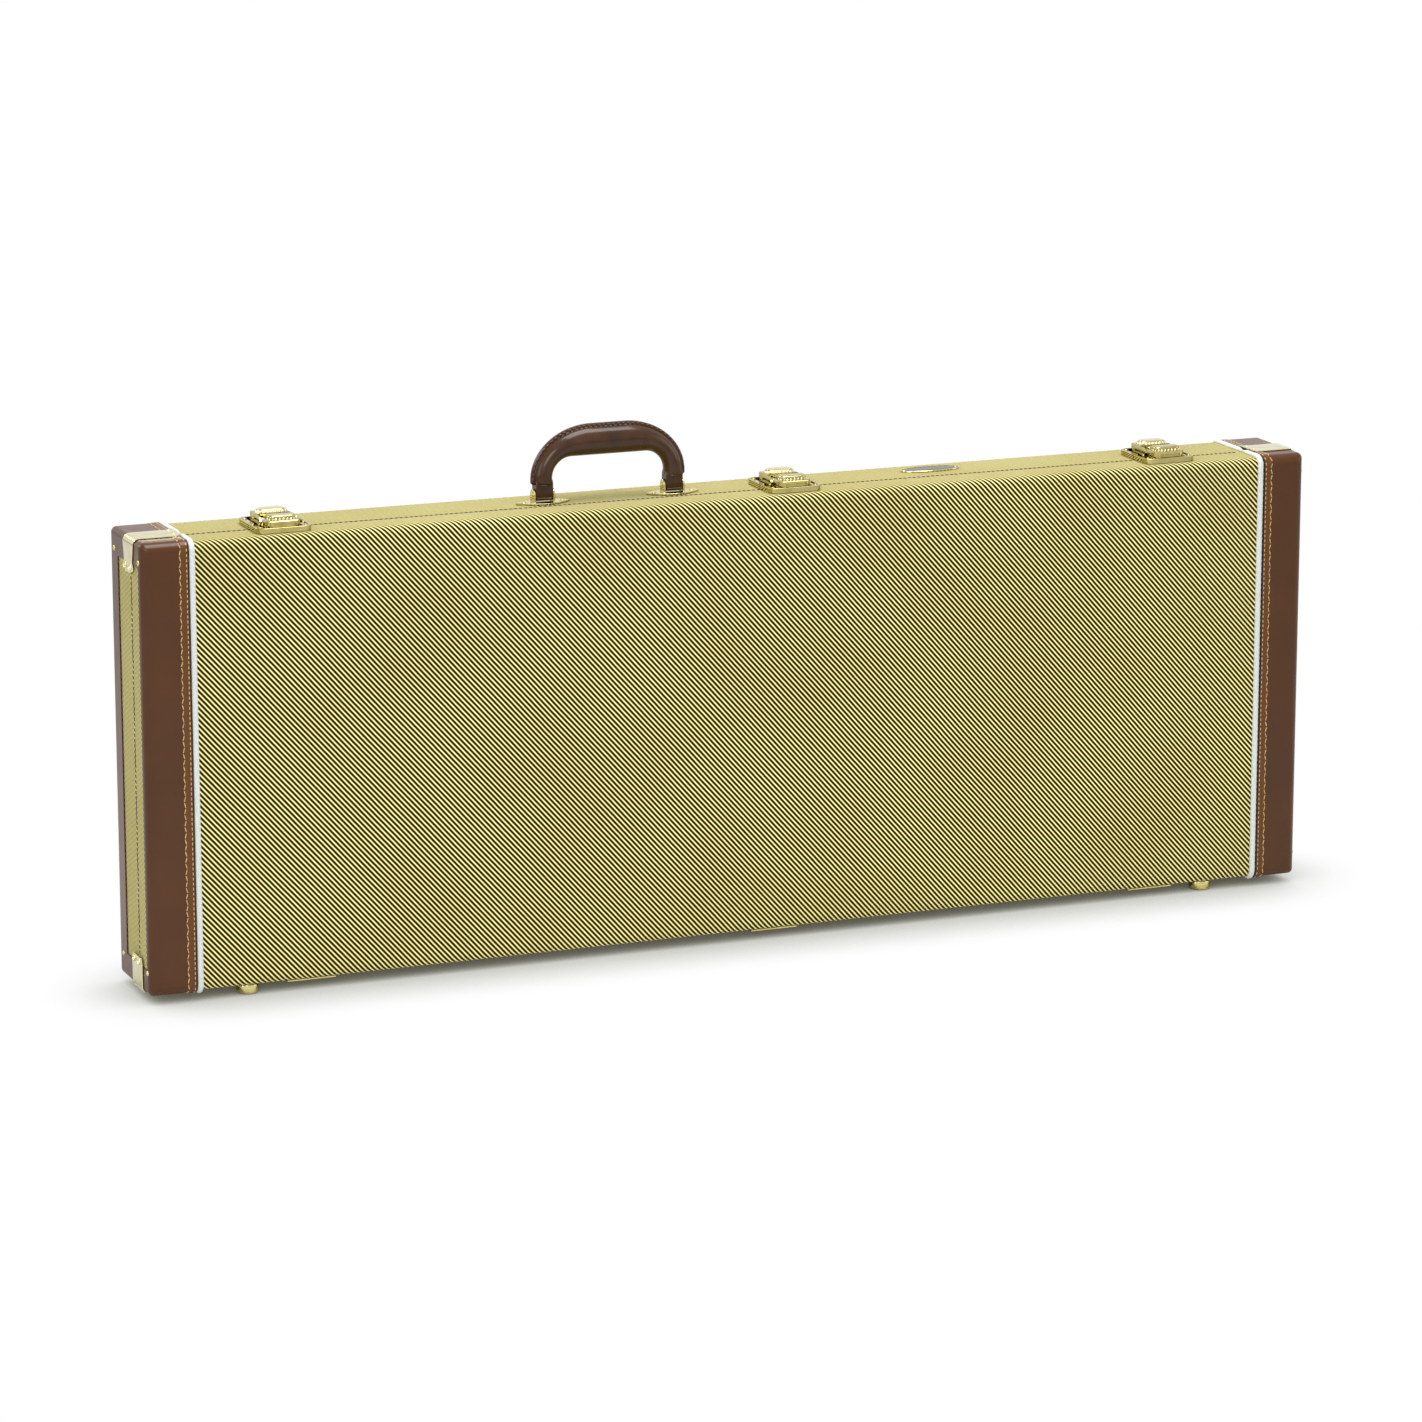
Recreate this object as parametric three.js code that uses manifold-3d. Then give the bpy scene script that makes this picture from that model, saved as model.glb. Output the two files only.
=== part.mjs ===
// Rectangular electric guitar case, standing on its hinged long side with the lid towards -Y.
// Millimetres, +Z up, +X along the case. The origin is the middle of the box round the case, at the floor.
import * as THREE from 'three';
import { mergeVertices } from 'three/addons/utils/BufferGeometryUtils.js';
import Module from 'manifold-3d';

const wasm = await Module();
wasm.setup();

// Driving dimensions of the wooden case
const caseLength = 1050;
const caseHeight = 375;
const lidDepth = 33;
const bodyDepth = 55;
const wallThickness = 5;
const edgeRadius = 7;
const cornerRadius = 3.5;
const leastRadius = 0.5;
const seamGap = 0.6;
const seatGap = 0.3;
const overrun = 4;
const samePoint = 0.001;

// Leather ends, with the piping between leather and cloth
const leatherThickness = 1;
const leatherBandLength = 40;
const leatherFrontBorder = 9;
const leatherBackBorder = 23;
const leatherCornerPatch = 20;
const pipingWidth = 5;
const pipingHeight = 2.4;

// Brass straps over the seam at the corners
const strapThickness = 0.9;
const strapWidth = 13;
const strapTopLength = 38;
const strapDrop = 27;

// Latches
const latchEndInset = 125;
const middleLatchOffset = 50;
const plateThickness = 1.5;
const latchWidth = 48;
const latchPlateCorner = 9;
const latchRimHeight = 4.5;
const latchRimWidth = 2;
const keeperLength = 25;
const latchBaseLength = 30;
const latchPivotHeight = 7;
const latchPivotReach = 3.5;
const latchArm = 7.5;
const latchPinRadius = 1.2;
const latchPinClearance = 0.25;
const earThickness = 1.6;
const earRadius = 3;
const earNeckHeight = 1;
const earFootReach = 6;
const leverWidth = 32;
const leverLength = 28;
const leverTopHeight = 10.8;
const leverWall = 1.8;
const leverCorner = 6;
const leverFillet = 2.5;
const crownHeight = 2.8;
const crownWidth = 24;
const crownLength = 11.5;
const crownCorner = 5;
const crownFillet = 1.7;
const crownTailInset = 4.4;
const leverTail = 2.2;
const loopWidth = 21;
const loopSheet = 1.5;
const loopBend = 3;
const loopLipClearance = 0.6;
const hoodWidth = 30;
const hoodCorner = 7;
const hoodClearance = 0.8;
const hoodCrownInset = 3;
const loopReach = 16.5;
const loopBarrelRadius = 3;
const hookWidth = 16;
const hookLength = 4;
const hookTopLength = 2.8;
const hookHeight = 3.6;
const hookGap = 0.7;

// Handle
const handleOffset = 105.5;
const handleSpan = 116;
const handleHeight = 65;
const handleLegWidth = 16;
const handleLegDepth = 16;
const handleGripHeight = 21;
const handleGripDepth = 20;
const handleBend = 32;
const weltHeight = 3;
const weltThickness = 4.5;
const weltTopThickness = 3.4;
const handlePinHeight = 8;
const handlePinRadius = 1.6;
const handlePinClearance = 0.2;
const handleTongueWidth = 15;
const handleTongueRadius = 5.6;
const handleTongueLength = 8;
const bracketPlateLength = 48;
const bracketPlateWidth = 22;
const bracketCheek = 1.6;
const bracketSeamOffset = 13;

// Hinges along the bottom of the seam
const hingeEndInset = 140;
const middleHingeOffset = 29;
const hingeWidth = 42;
const hingeLeafReach = 27.5;
const hingeLeafThickness = 1.2;
const knuckleRadius = 2.2;
const hingePinRadius = 1;
const hingePinClearance = 0.15;
const knuckleGap = 0.3;

// Feet and name plate place
const footHeight = 8.5;
const footTopRadius = 8;
const footSoleRadius = 6.6;
const footFillet = 1.6;
const footTaper = 0.4;
const footInset = 87;
const footSeamInset = 17;
const badgeLength = 52;
const badgeWidth = 15;
const badgeThickness = 1.2;
const badgeEndInset = 330;
const badgeSeamOffset = 23;

// Lining, pads and compartments
const linerThickness = 3;
const lipHeight = 6;
const backPadThickness = 10;
const backPadInset = 2;
const padCorner = 12;
const lidPadThickness = 11;
const lidPadCrown = 3;
const padFrontRecess = 4;
const tailPadLength = 88;
const tailPadHollow = 46;
const boutPadLength = 330;
const headPadLength = 70;
const headPadHollow = 34;
const neckWidth = 64;
const neckRestGap = 65;
const neckRestLength = 50;
const neckRestShoulder = 28;
const neckChannelDepth = 20;
const neckChannelRadius = 8;
const accessoryLength = 270;
const accessoryEndInset = 145;
const accessoryHeight = 128;
const accessoryWall = 4;
const accessoryLidThickness = 3.5;
const accessoryLidEdge = 5;

// Places that follow from the sizes above
const leatherGrow = seatGap + leatherThickness;
const shellLength = caseLength - 2 * leatherGrow;
const caseDepth = lidDepth + bodyDepth;
const frontY = -caseDepth / 2;
const backY = caseDepth / 2;
const seamY = frontY + lidDepth;
const bottomZ = footHeight;
const topZ = bottomZ + caseHeight;
const middleZ = bottomZ + caseHeight / 2;
const endX = caseLength / 2;
const farAway = caseLength;
const latchCentres = { left: latchEndInset - endX, middle: middleLatchOffset, right: endX - latchEndInset };
const hingeCentres = { left: hingeEndInset - endX, middle: middleHingeOffset, right: endX - hingeEndInset };
const handleCentre = -handleOffset;
const bracketY = seamY + bracketSeamOffset;
const badgeX = endX - badgeEndInset;
const badgeY = seamY + badgeSeamOffset;

const finishes = {
  tweed: { color: 0x9c9456, roughness: 0.85, metalness: 0 },
  leather: { color: 0x5a3a26, roughness: 0.5, metalness: 0 },
  darkLeather: { color: 0x3c2318, roughness: 0.35, metalness: 0 },
  piping: { color: 0xe2e6e0, roughness: 0.45, metalness: 0 },
  brass: { color: 0xd9c88c, roughness: 0.25, metalness: 1 },
  badge: { color: 0x16181c, roughness: 0.3, metalness: 0 },
  plush: { color: 0xa9742e, roughness: 0.95, metalness: 0 },
};

const guitarCase = new THREE.Group();

function addPart(name, finish, shape) {
  const mesh = new THREE.Mesh(shape.isBufferGeometry ? shape : toGeometry(shape), material(finish));
  mesh.name = name;
  guitarCase.add(mesh);
}

function material(finish) {
  return new THREE.MeshStandardMaterial(finishes[finish]);
}

// Solids for cutting and joining
function toSolid(geometry) {
  const bare = geometry.clone();
  bare.deleteAttribute('normal');
  bare.deleteAttribute('uv');
  const merged = mergeVertices(bare);
  const mesh = new wasm.Mesh({
    numProp: 3,
    vertProperties: Float32Array.from(merged.attributes.position.array),
    triVerts: Uint32Array.from(merged.index.array),
  });
  return new wasm.Manifold(mesh);
}

function toGeometry(solid) {
  const mesh = solid.getMesh();
  const geometry = new THREE.BufferGeometry();
  geometry.setAttribute('position', new THREE.BufferAttribute(Float32Array.from(mesh.vertProperties), 3));
  geometry.setIndex(new THREE.BufferAttribute(Uint32Array.from(mesh.triVerts), 1));
  geometry.computeVertexNormals();
  return geometry;
}

function box(lowX, highX, lowY, highY, lowZ, highZ) {
  const geometry = new THREE.BoxGeometry(highX - lowX, highY - lowY, highZ - lowZ);
  geometry.translate((lowX + highX) / 2, (lowY + highY) / 2, (lowZ + highZ) / 2);
  return toSolid(geometry);
}

// The points of an outline, without the doubled ones that joined curves leave
function outlinePoints(outline, curveSegments) {
  const points = outline.getPoints(curveSegments);
  return points.filter((point, index) => {
    const previous = points[(index + points.length - 1) % points.length];
    return point.distanceTo(previous) > samePoint;
  });
}

// Extrusions of an outline along each axis: X takes (y, z) outlines, Y takes (x, z) and Z takes (x, y)
function extrude(outline, depth, bevel = 0, curveSegments = 5) {
  return new THREE.ExtrudeGeometry(new THREE.Shape(outlinePoints(outline, curveSegments)), {
    depth: depth - 2 * bevel,
    bevelEnabled: bevel > 0,
    bevelThickness: bevel,
    bevelSize: bevel,
    bevelOffset: -bevel,
    bevelSegments: 3,
  }).translate(0, 0, bevel);
}

function prismX(outline, lowX, highX, curveSegments) {
  const turned = new THREE.Matrix4().makeBasis(
    new THREE.Vector3(0, 1, 0),
    new THREE.Vector3(0, 0, 1),
    new THREE.Vector3(1, 0, 0),
  );
  return toSolid(extrude(outline, highX - lowX, 0, curveSegments).applyMatrix4(turned).translate(lowX, 0, 0));
}

function prismY(outline, lowY, highY, bevel) {
  return toSolid(extrude(outline, highY - lowY, bevel).rotateX(Math.PI / 2).translate(0, highY, 0));
}

function prismZ(outline, lowZ, highZ, bevel, curveSegments) {
  return toSolid(extrude(outline, highZ - lowZ, bevel, curveSegments).translate(0, 0, lowZ));
}

function rodX(radius, lowX, highX, y, z, segments = 16) {
  const geometry = new THREE.CylinderGeometry(radius, radius, highX - lowX, segments);
  return toSolid(geometry.rotateZ(Math.PI / 2).translate((lowX + highX) / 2, y, z));
}

function roundedRectangle(lowU, highU, lowV, highV, radius) {
  const outline = new THREE.Shape();
  outline.moveTo(lowU + radius, lowV);
  outline.lineTo(highU - radius, lowV);
  outline.absarc(highU - radius, lowV + radius, radius, -Math.PI / 2, 0, false);
  outline.lineTo(highU, highV - radius);
  outline.absarc(highU - radius, highV - radius, radius, 0, Math.PI / 2, false);
  outline.lineTo(lowU + radius, highV);
  outline.absarc(lowU + radius, highV - radius, radius, Math.PI / 2, Math.PI, false);
  outline.lineTo(lowU, lowV + radius);
  outline.absarc(lowU + radius, lowV + radius, radius, Math.PI, Math.PI * 1.5, false);
  return outline;
}

function polygon(points) {
  return new THREE.Shape(points.map(([u, v]) => new THREE.Vector2(u, v)));
}

// A closed skin through rings of points that all have the same count
function loft(rings) {
  const count = rings[0].length;
  const positions = rings.flat().flatMap((point) => [point.x, point.y, point.z]);
  const faces = [];
  for (let ring = 0; ring < rings.length - 1; ring += 1) {
    for (let side = 0; side < count; side += 1) {
      const next = (side + 1) % count;
      const here = ring * count;
      const there = here + count;
      faces.push(here + side, here + next, there + next);
      faces.push(here + side, there + next, there + side);
    }
  }
  const last = (rings.length - 1) * count;
  for (let side = 1; side < count - 1; side += 1) {
    faces.push(0, side + 1, side);
    faces.push(last, last + side, last + side + 1);
  }
  const geometry = new THREE.BufferGeometry();
  geometry.setAttribute('position', new THREE.Float32BufferAttribute(positions, 3));
  geometry.setIndex(faces);
  geometry.computeVertexNormals();
  return geometry;
}

// The whole case as one block, grown or shrunk all round; it is sawn in two at the seam. Where two faces
// meet, the rounding is the one seen along that edge, so the block is what its three views have in common.
function caseBlock(grow) {
  const halfLength = shellLength / 2 + grow;
  const lowY = frontY - grow;
  const highY = backY + grow;
  const lowZ = bottomZ - grow;
  const highZ = topZ + grow;
  const corner = Math.max(cornerRadius + grow, leastRadius);
  const edge = Math.max(edgeRadius + grow, leastRadius);
  const fromFront = prismY(
    roundedRectangle(-halfLength, halfLength, lowZ, highZ, corner),
    lowY - overrun,
    highY + overrun,
  );
  const fromEnd = prismX(
    roundedRectangle(lowY, highY, lowZ, highZ, edge),
    -halfLength - overrun,
    halfLength + overrun,
    3,
  );
  const fromAbove = prismZ(
    roundedRectangle(-halfLength, halfLength, lowY, highY, edge),
    lowZ - overrun,
    highZ + overrun,
    0,
    3,
  );
  return fromFront.intersect(fromEnd).intersect(fromAbove);
}

const halves = {
  lid: box(-farAway, farAway, -farAway, seamY - seamGap / 2, -farAway, farAway),
  body: box(-farAway, farAway, seamY + seamGap / 2, farAway, -farAway, farAway),
};
const halfNames = ['lid', 'body'];
const endSides = { left: -1, right: 1 };

// Lid and body trays of cloth-covered plywood
const solidBlock = caseBlock(0);
const hollow = caseBlock(-wallThickness);
const traySolid = solidBlock.subtract(hollow);
for (const half of halfNames) {
  addPart(`${half}_shell`, 'tweed', traySolid.intersect(halves[half]));
}

// Leather skin round each end, open over the middle of the end wall
const leatherSkin = caseBlock(leatherGrow).subtract(caseBlock(seatGap));
const bandX = endX - leatherBandLength;
const windowSolid = box(
  -farAway,
  farAway,
  frontY + leatherFrontBorder,
  backY - leatherBackBorder,
  bottomZ + leatherCornerPatch,
  topZ - leatherCornerPatch,
);
for (const half of halfNames) {
  for (const [side, sign] of Object.entries(endSides)) {
    const band = box(
      Math.min(sign * bandX, sign * farAway),
      Math.max(sign * bandX, sign * farAway),
      -farAway,
      farAway,
      -farAway,
      farAway,
    );
    const skin = leatherSkin.intersect(band).subtract(windowSolid).intersect(halves[half]);
    addPart(`${half}_leather_${side}`, 'leather', skin);
  }
}

// Piping: a flattened bead carried from the seam over the top, down the face and back under the bottom
const beadProfileShares = [[-0.5, 0], [0.5, 0], [0.5, 0.45], [0.27, 0.88], [0, 1], [-0.27, 0.88], [-0.5, 0.45]];
const arcSteps = 5;

function pipingRoute(half) {
  const outwardY = half === 'lid' ? -1 : 1;
  const faceY = half === 'lid' ? frontY : backY;
  const rimY = seamY + (outwardY * seamGap) / 2;
  const stations = [{ y: rimY, z: topZ, angle: Math.PI / 2 }];
  for (const [centreZ, startAngle] of [[topZ - edgeRadius, Math.PI / 2], [bottomZ + edgeRadius, 0]]) {
    for (let step = 0; step <= arcSteps; step += 1) {
      const angle = startAngle - (Math.PI / 2) * (step / arcSteps);
      stations.push({
        y: faceY - outwardY * edgeRadius + outwardY * edgeRadius * Math.cos(angle),
        z: centreZ + edgeRadius * Math.sin(angle),
        angle,
      });
    }
  }
  stations.push({ y: rimY, z: bottomZ, angle: -Math.PI / 2 });
  return stations.map(({ y, z, angle }) => ({ y, z, outY: outwardY * Math.cos(angle), outZ: Math.sin(angle) }));
}

function piping(half, sign) {
  const centreX = sign * (bandX - seatGap - pipingWidth / 2);
  const mirror = half === 'lid' ? 1 : -1;
  const rings = pipingRoute(half).map(({ y, z, outY, outZ }) => beadProfileShares.map(([across, out]) => {
    const height = seatGap + out * pipingHeight;
    return new THREE.Vector3(centreX + mirror * across * pipingWidth, y + outY * height, z + outZ * height);
  }));
  return toSolid(loft(rings));
}

for (const half of halfNames) {
  for (const [side, sign] of Object.entries(endSides)) {
    addPart(`${half}_piping_${side}`, 'piping', piping(half, sign));
  }
}

// Corner straps: flat brass over the seam, bent down the end wall. The upper ones have a waist and a bulb
// for the rivet and the lower ones are straight: shares of the drop below the bend, and of the width there.
const strapOutlineShares = {
  top: [[0.35, 0.86], [0.6, 0.78], [0.7, 0.92], [0.8, 1], [0.9, 0.92], [1, 0.45]],
  bottom: [[0.88, 1], [1, 0.8]],
};
const strapSeatGrow = leatherGrow + seatGap;

function strap(half, level, sign) {
  const up = level === 'top' ? 1 : -1;
  const surfaceZ = level === 'top' ? topZ : bottomZ;
  const outwardY = half === 'lid' ? -1 : 1;
  const seamEdgeY = seamY + (outwardY * seamGap) / 2;
  const bendRadius = cornerRadius + strapSeatGrow;
  const bendX = shellLength / 2 - cornerRadius;
  const bendZ = surfaceZ - up * cornerRadius;
  const wallX = shellLength / 2 + strapSeatGrow;
  const stations = [{ x: endX - strapTopLength, z: surfaceZ + up * strapSeatGrow, outX: 0, outZ: 1, share: 1 }];
  for (let step = 0; step <= arcSteps; step += 1) {
    const angle = (Math.PI / 2) * (1 - step / arcSteps);
    stations.push({
      x: bendX + bendRadius * Math.cos(angle),
      z: bendZ + up * bendRadius * Math.sin(angle),
      outX: Math.cos(angle),
      outZ: Math.sin(angle),
      share: 1,
    });
  }
  for (const [along, share] of strapOutlineShares[level]) {
    const z = bendZ - up * (strapDrop - cornerRadius) * along;
    stations.push({ x: wallX, z, outX: 1, outZ: 0, share });
  }
  const rings = stations.map(({ x, z, outX, outZ, share }) => {
    const farY = seamEdgeY + outwardY * strapWidth * share;
    const outerX = x + outX * strapThickness;
    const outerZ = z + up * outZ * strapThickness;
    return [
      new THREE.Vector3(sign * x, seamEdgeY, z),
      new THREE.Vector3(sign * x, farY, z),
      new THREE.Vector3(sign * outerX, farY, outerZ),
      new THREE.Vector3(sign * outerX, seamEdgeY, outerZ),
    ];
  });
  const turns = sign * up * outwardY;
  return toSolid(loft(turns > 0 ? rings : rings.map((ring) => ring.slice().reverse())));
}

for (const half of halfNames) {
  for (const level of ['top', 'bottom']) {
    for (const [side, sign] of Object.entries(endSides)) {
      addPart(`${half}_strap_${level}_${side}`, 'brass', strap(half, level, sign));
    }
  }
}

// Hinges: three-knuckle butts under the seam, with their pins below the bottom wall
const hingeAxisZ = bottomZ - seatGap - knuckleRadius;
const leafTopZ = bottomZ - seatGap;
const knuckleLength = hingeWidth / 3;

function knuckles(centreX, spans) {
  return spans
    .map(([low, high]) => rodX(knuckleRadius, centreX + low, centreX + high, seamY, hingeAxisZ))
    .reduce((whole, knuckle) => whole.add(knuckle));
}

function leaf(centreX, outwardY, spans) {
  const clearReach = knuckleRadius + seatGap;
  const nearY = seamY + outwardY * clearReach;
  const farY = seamY + outwardY * hingeLeafReach;
  const plate = box(
    centreX - hingeWidth / 2,
    centreX + hingeWidth / 2,
    Math.min(nearY, farY),
    Math.max(nearY, farY),
    leafTopZ - hingeLeafThickness,
    leafTopZ,
  );
  const webs = spans
    .map(([low, high]) => box(
      centreX + low,
      centreX + high,
      Math.min(seamY, nearY + outwardY * hingeLeafThickness),
      Math.max(seamY, nearY + outwardY * hingeLeafThickness),
      leafTopZ - hingeLeafThickness,
      leafTopZ,
    ))
    .reduce((whole, web) => whole.add(web));
  const boreRadius = hingePinRadius + hingePinClearance;
  const bore = rodX(boreRadius, centreX - hingeWidth, centreX + hingeWidth, seamY, hingeAxisZ);
  return plate.add(webs).add(knuckles(centreX, spans)).subtract(bore);
}

const innerKnuckle = knuckleLength / 2 - knuckleGap / 2;
const outerKnuckle = knuckleLength / 2 + knuckleGap / 2;
for (const [place, centreX] of Object.entries(hingeCentres)) {
  const outerSpans = [[-hingeWidth / 2, -outerKnuckle], [outerKnuckle, hingeWidth / 2]];
  addPart(`hinge_body_leaf_${place}`, 'brass', leaf(centreX, 1, outerSpans));
  addPart(`hinge_lid_leaf_${place}`, 'brass', leaf(centreX, -1, [[-innerKnuckle, innerKnuckle]]));
  const pin = rodX(hingePinRadius, centreX - hingeWidth / 2, centreX + hingeWidth / 2, seamY, hingeAxisZ);
  addPart(`hinge_pin_${place}`, 'brass', pin);
}

// Latches: a draw latch on the body whose loop hooks over a keeper on the lid
const plateBottomZ = topZ + seatGap;
const plateTopZ = plateBottomZ + plateThickness;
const pivotY = seamY - latchPivotReach;
const pivotZ = topZ + latchPivotHeight;
const loopPinY = pivotY + latchArm;
const hookY = loopPinY - loopReach - latchArm;

// An outline that is straight on its near side and has two round corners on its far side
function tongueOutline(centreX, width, nearY, farY, corner) {
  const outwardY = Math.sign(farY - nearY);
  const lowX = centreX - width / 2;
  const highX = centreX + width / 2;
  const outline = new THREE.Shape();
  outline.moveTo(lowX, nearY);
  outline.lineTo(lowX, farY - outwardY * corner);
  outline.quadraticCurveTo(lowX, farY, lowX + corner, farY);
  outline.lineTo(highX - corner, farY);
  outline.quadraticCurveTo(highX, farY, highX, farY - outwardY * corner);
  outline.lineTo(highX, nearY);
  return outline;
}

// A pressed plate with its rim turned up on the three sides away from the seam
function latchPlate(centreX, seamSideY, outwardY, length) {
  const farY = seamSideY + outwardY * length;
  const outline = tongueOutline(centreX, latchWidth, seamSideY, farY, latchPlateCorner);
  const inside = tongueOutline(
    centreX,
    latchWidth - 2 * latchRimWidth,
    seamSideY - outwardY * overrun,
    farY - outwardY * latchRimWidth,
    latchPlateCorner - latchRimWidth,
  );
  const rimTopZ = plateBottomZ + latchRimHeight;
  return prismZ(outline, plateBottomZ, rimTopZ).subtract(prismZ(inside, plateTopZ, rimTopZ + overrun));
}

function keeper(centreX) {
  const hook = polygon([
    [hookY, plateBottomZ],
    [hookY + hookLength, plateBottomZ],
    [hookY + hookTopLength, plateTopZ + hookHeight],
    [hookY, plateTopZ + hookHeight],
  ]);
  const plate = latchPlate(centreX, seamY - seamGap / 2, -1, keeperLength);
  return plate.add(prismX(hook, centreX - hookWidth / 2, centreX + hookWidth / 2));
}

function latchBase(centreX) {
  const baseFrontY = seamY + seamGap / 2;
  const plate = latchPlate(centreX, baseFrontY, 1, latchBaseLength);
  const ear = polygon([
    [pivotY - earRadius, pivotZ - earNeckHeight],
    [baseFrontY, plateTopZ + seatGap],
    [baseFrontY, plateBottomZ],
    [baseFrontY + earFootReach, plateBottomZ],
    [pivotY + earRadius, pivotZ + earNeckHeight],
  ]);
  const earOuter = leverWidth / 2 - leverWall - seatGap;
  let base = plate;
  for (const sign of [-1, 1]) {
    const lowX = centreX + Math.min(sign * earOuter, sign * (earOuter - earThickness));
    base = base.add(prismX(ear, lowX, lowX + earThickness));
    base = base.add(rodX(earRadius, lowX, lowX + earThickness, pivotY, pivotZ));
  }
  const pinReach = leverWidth / 2;
  return base.add(rodX(latchPinRadius, centreX - pinReach, centreX + pinReach, pivotY, pivotZ));
}

function lever(centreX) {
  const frontRadius = earRadius + seatGap;
  const tailY = pivotY + leverLength;
  const underZ = plateTopZ + seatGap;
  const roofZ = topZ + leverTopHeight;
  const side = new THREE.Shape();
  side.moveTo(pivotY, pivotZ - frontRadius);
  side.lineTo(tailY - leverTail, underZ + leverTail);
  side.lineTo(tailY, underZ);
  side.lineTo(tailY, underZ + leverTail);
  side.lineTo(tailY - leverTail, roofZ);
  side.lineTo(pivotY + frontRadius, roofZ);
  side.quadraticCurveTo(pivotY, roofZ, pivotY - frontRadius, pivotZ);
  side.absarc(pivotY, pivotZ, frontRadius, Math.PI, Math.PI * 1.5, false);
  const lowX = centreX - leverWidth / 2;
  const highX = centreX + leverWidth / 2;
  const noseY = pivotY - frontRadius;
  const plan = tongueOutline(centreX, leverWidth, noseY - overrun, tailY, leverCorner);
  const front = roundedRectangle(lowX, highX, bottomZ, roofZ, leverFillet);
  const whole = prismX(side, lowX, highX, 6)
    .intersect(prismZ(plan, underZ - overrun, roofZ + overrun))
    .intersect(prismY(front, noseY - overrun, tailY + overrun));
  const channelHalf = leverWidth / 2 - leverWall;
  const roofFrontY = loopPinY + loopBarrelRadius + seatGap;
  const channel = box(
    centreX - channelHalf,
    centreX + channelHalf,
    pivotY - 2 * frontRadius,
    tailY - leverTail - leverWall,
    bottomZ,
    roofZ - leverWall,
  );
  const frontSlot = box(
    centreX - channelHalf,
    centreX + channelHalf,
    pivotY - 2 * frontRadius,
    roofFrontY,
    bottomZ,
    roofZ + overrun,
  );
  const crownFarY = tailY - crownTailInset;
  const crown = prismZ(
    roundedRectangle(
      centreX - crownWidth / 2,
      centreX + crownWidth / 2,
      crownFarY - crownLength,
      crownFarY,
      crownCorner,
    ),
    roofZ - crownHeight,
    roofZ + crownHeight,
    crownFillet,
    4,
  );
  const boreRadius = latchPinRadius + latchPinClearance;
  const bore = rodX(boreRadius, centreX - leverWidth, centreX + leverWidth, pivotY, pivotZ);
  const loopPin = rodX(latchPinRadius, centreX - channelHalf, centreX + channelHalf, loopPinY, pivotZ);
  return whole.add(crown).subtract(channel).subtract(frontSlot).subtract(bore).add(loopPin);
}

// The loop is a pressed hood over the keeper's hook, with a flat neck back to its barrel
function loop(centreX) {
  const lipInnerY = hookY - hookGap;
  const lipOuterY = lipInnerY - loopSheet;
  const lipZ = plateTopZ + loopLipClearance;
  const roofZ = pivotZ + loopBarrelRadius;
  const hoodBackY = pivotY - earRadius - seatGap - hoodClearance;
  const lowX = centreX - hoodWidth / 2;
  const highX = centreX + hoodWidth / 2;
  const plan = tongueOutline(centreX, hoodWidth, hoodBackY, lipOuterY, hoodCorner);
  const side = new THREE.Shape();
  side.moveTo(hoodBackY, lipZ);
  side.lineTo(hoodBackY, roofZ);
  side.lineTo(lipOuterY + loopBend, roofZ);
  side.quadraticCurveTo(lipOuterY, roofZ, lipOuterY, roofZ - loopBend);
  side.lineTo(lipOuterY, lipZ);
  const front = roundedRectangle(lowX, highX, bottomZ, roofZ, leverFillet);
  const nose = prismX(side, lowX, highX)
    .intersect(prismZ(plan, lipZ - overrun, roofZ + overrun))
    .intersect(prismY(front, lipOuterY - overrun, hoodBackY + overrun));
  const inside = tongueOutline(
    centreX,
    hoodWidth - 2 * loopSheet,
    hoodBackY + overrun,
    lipInnerY,
    hoodCorner - loopSheet,
  );
  const crown = prismZ(
    tongueOutline(
      centreX,
      hoodWidth - 2 * hoodCrownInset,
      hoodBackY,
      lipOuterY + hoodCrownInset,
      hoodCorner - loopSheet,
    ),
    roofZ - loopSheet,
    topZ + leverTopHeight + crownHeight,
    crownFillet,
    4,
  );
  const hood = nose.subtract(prismZ(inside, bottomZ, roofZ - loopSheet)).add(crown);
  const neck = box(
    centreX - loopWidth / 2,
    centreX + loopWidth / 2,
    hoodBackY - loopSheet,
    loopPinY,
    roofZ - loopSheet,
    roofZ,
  );
  const barrel = rodX(loopBarrelRadius, centreX - loopWidth / 2, centreX + loopWidth / 2, loopPinY, pivotZ);
  const boreRadius = latchPinRadius + latchPinClearance;
  const bore = rodX(boreRadius, centreX - loopWidth, centreX + loopWidth, loopPinY, pivotZ);
  return hood.add(neck).add(barrel).subtract(bore);
}

for (const [place, centreX] of Object.entries(latchCentres)) {
  addPart(`latch_base_${place}`, 'brass', latchBase(centreX));
  addPart(`latch_keeper_${place}`, 'brass', keeper(centreX));
  addPart(`latch_lever_${place}`, 'brass', lever(centreX));
  addPart(`latch_loop_${place}`, 'brass', loop(centreX));
}

// Handle: a padded leather arch whose section swells along the grip and narrows to a tongue at each pin
const handlePinZ = topZ + handlePinHeight;
const sectionSides = 12;

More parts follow.
